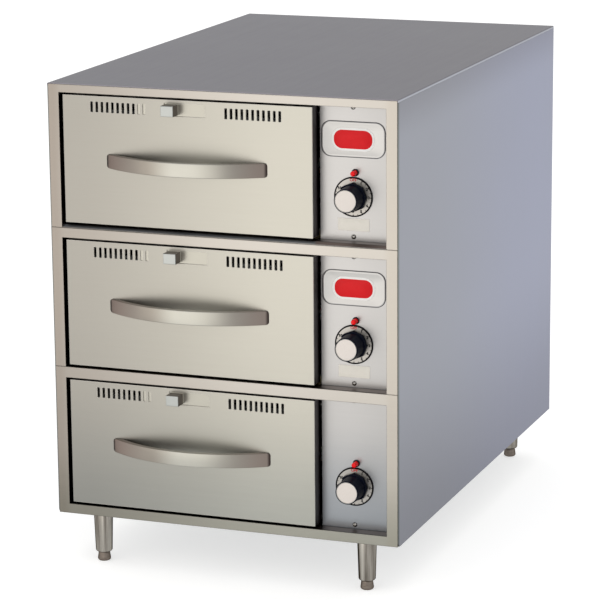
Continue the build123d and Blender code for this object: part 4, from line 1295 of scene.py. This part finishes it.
@dataclass
class Studio:
    """The camera, a pale floor, soft lamps and a white surround."""

    place: tuple[float, float, float] = (1.4816, -4.0189, 1.325)
    azimuth: float = 20.534
    elevation: float = 13.103
    roll: float = 0.49
    lens: float = 173.59
    sensor: float = 36.0
    clip: tuple[float, float] = (0.05, 200.0)
    floor_radius: float = 30.0
    floor_lift: float = 0.58
    ambient: float = 0.98
    lamps: tuple[tuple, ...] = (
        ("front_softbox", (-0.545, -1.19, 0.45), (-0.545, 0.0, 0.45), (1.45, 0.86), 3.15, "#fff6ec"),
        ("top_softbox", (0.2, 0.4, 3.2), (0.0, 0.0, 0.3), (2.4, 2.4), 8.0, "#ffffff"))

    def build(self) -> None:
        """Set up the studio, with a large softbox low at the front left and a wider one overhead."""
        self.camera()
        self.floor()
        self.world()
        for lamp in self.lamps:
            self.lamp(*lamp)

    def camera(self) -> None:
        """Stand the camera where the fit puts it, turned by azimuth, elevation and roll."""
        data = bpy.data.cameras.new("camera")
        data.lens = self.lens
        data.sensor_width = self.sensor
        data.clip_start, data.clip_end = self.clip
        piece = bpy.data.objects.new("camera", data)
        bpy.context.scene.collection.objects.link(piece)
        turn, tilt, lean = (math.radians(angle) for angle in (self.azimuth, self.elevation, self.roll))
        ahead = Vector((-math.sin(turn) * math.cos(tilt), math.cos(turn) * math.cos(tilt), -math.sin(tilt)))
        right = Vector((math.cos(turn), math.sin(turn), 0))
        up = right.cross(ahead)
        side = math.cos(lean) * right - math.sin(lean) * up
        head = math.sin(lean) * right + math.cos(lean) * up
        rotation = Matrix((side, head, -ahead)).transposed().to_4x4()
        piece.matrix_world = Matrix.Translation(self.place) @ rotation
        bpy.context.scene.camera = piece

    def floor(self) -> None:
        """A round pale floor: lit paint, lifted to white where nothing shades it."""
        ring = turned([(0.0, 0.0), (self.floor_radius, 0.0)], Vector((0, 0, 0)), Axis.UP, 96)
        mesh = bpy.data.meshes.new("studio_floor")
        mesh.from_pydata(ring.reshape(-1, 3).tolist(), [], grid_faces(*ring.shape[:2]).tolist())
        merge(mesh, outwards=False)
        if mesh.polygons[0].normal.z < 0:
            mesh.flip_normals()
        paint = bpy.data.materials.new("matt_white_studio_floor")
        paint.use_nodes = True
        tree = paint.node_tree
        tree.nodes.clear()
        diffuse = add_node(tree, "ShaderNodeBsdfDiffuse", inputs={"Color": linear("#c9c9c8")})
        seen = self.seen(tree)
        glow = add_node(tree, "ShaderNodeMath", {"operation": "MULTIPLY"}, {0: seen, 1: self.floor_lift})
        lift = add_node(tree, "ShaderNodeEmission", inputs={"Strength": glow.outputs[0]})
        both = add_node(tree, "ShaderNodeAddShader", inputs={0: diffuse.outputs[0], 1: lift.outputs[0]})
        add_node(tree, "ShaderNodeOutputMaterial", inputs={"Surface": both.outputs[0]})
        mesh.materials.append(paint)
        piece = bpy.data.objects.new("studio_floor", mesh)
        bpy.context.scene.collection.objects.link(piece)

    def seen(self, tree: bpy.types.NodeTree) -> bpy.types.NodeSocket:
        """One for rays from the camera, from a glossy surface or through a clear one, else nought."""
        path = add_node(tree, "ShaderNodeLightPath")
        some = add_node(tree, "ShaderNodeMath", {"operation": "MAXIMUM"},
                        {0: path.outputs["Is Camera Ray"], 1: path.outputs["Is Glossy Ray"]})
        both = add_node(tree, "ShaderNodeMath", {"operation": "MAXIMUM"},
                        {0: some.outputs[0], 1: path.outputs["Is Transmission Ray"]})
        return both.outputs[0]

    def world(self) -> None:
        """A white surround: full white where it is seen, softer as light on matt surfaces."""
        surround = bpy.data.worlds.new("studio")
        bpy.context.scene.world = surround
        surround.use_nodes = True
        tree = surround.node_tree
        tree.nodes.clear()
        inputs = {0: self.seen(tree), 1: 1 - self.ambient, 2: self.ambient}
        strength = add_node(tree, "ShaderNodeMath", {"operation": "MULTIPLY_ADD"}, inputs)
        inputs = {"Color": (1, 1, 1, 1), "Strength": strength.outputs[0]}
        shade = add_node(tree, "ShaderNodeBackground", inputs=inputs)
        add_node(tree, "ShaderNodeOutputWorld", inputs={"Surface": shade.outputs[0]})

    def lamp(self, name: str, place: tuple, aim: tuple, size: tuple[float, float], power: float,
             colour: str) -> None:
        """Hang one soft lamp and aim it.

        Args:
            name: The lamp's name.
            place: Where it hangs.
            aim: What it points at.
            size: Its width and height in metres.
            power: Its power in watts.
            colour: The colour of its light.
        """
        data = bpy.data.lights.new(name, "AREA")
        data.shape = "RECTANGLE"
        data.size, data.size_y = size
        data.energy = power
        data.color = linear(colour)[:3]
        piece = bpy.data.objects.new(name, data)
        piece.visible_camera = False
        bpy.context.scene.collection.objects.link(piece)
        piece.location = place
        piece.rotation_mode = "QUATERNION"
        piece.rotation_quaternion = (Vector(aim) - Vector(place)).to_track_quat("-Z", "Y")


def main() -> None:
    """Build the scene: studio first, then the cabinet and its parts."""
    logging.basicConfig(level=logging.INFO, format="%(name)s: %(message)s")
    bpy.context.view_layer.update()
    bpy.context.scene.view_settings.view_transform = "Standard"
    Studio().build()
    cabinet = Cabinet()
    cabinet.dress()
    cabinet.screws()
    cabinet.blankets()
    for tier in Tier:
        Controls(tier).build()
        DrawerHandle(tier).build()
    Stand().build()


if __name__ == "__main__":
    main()
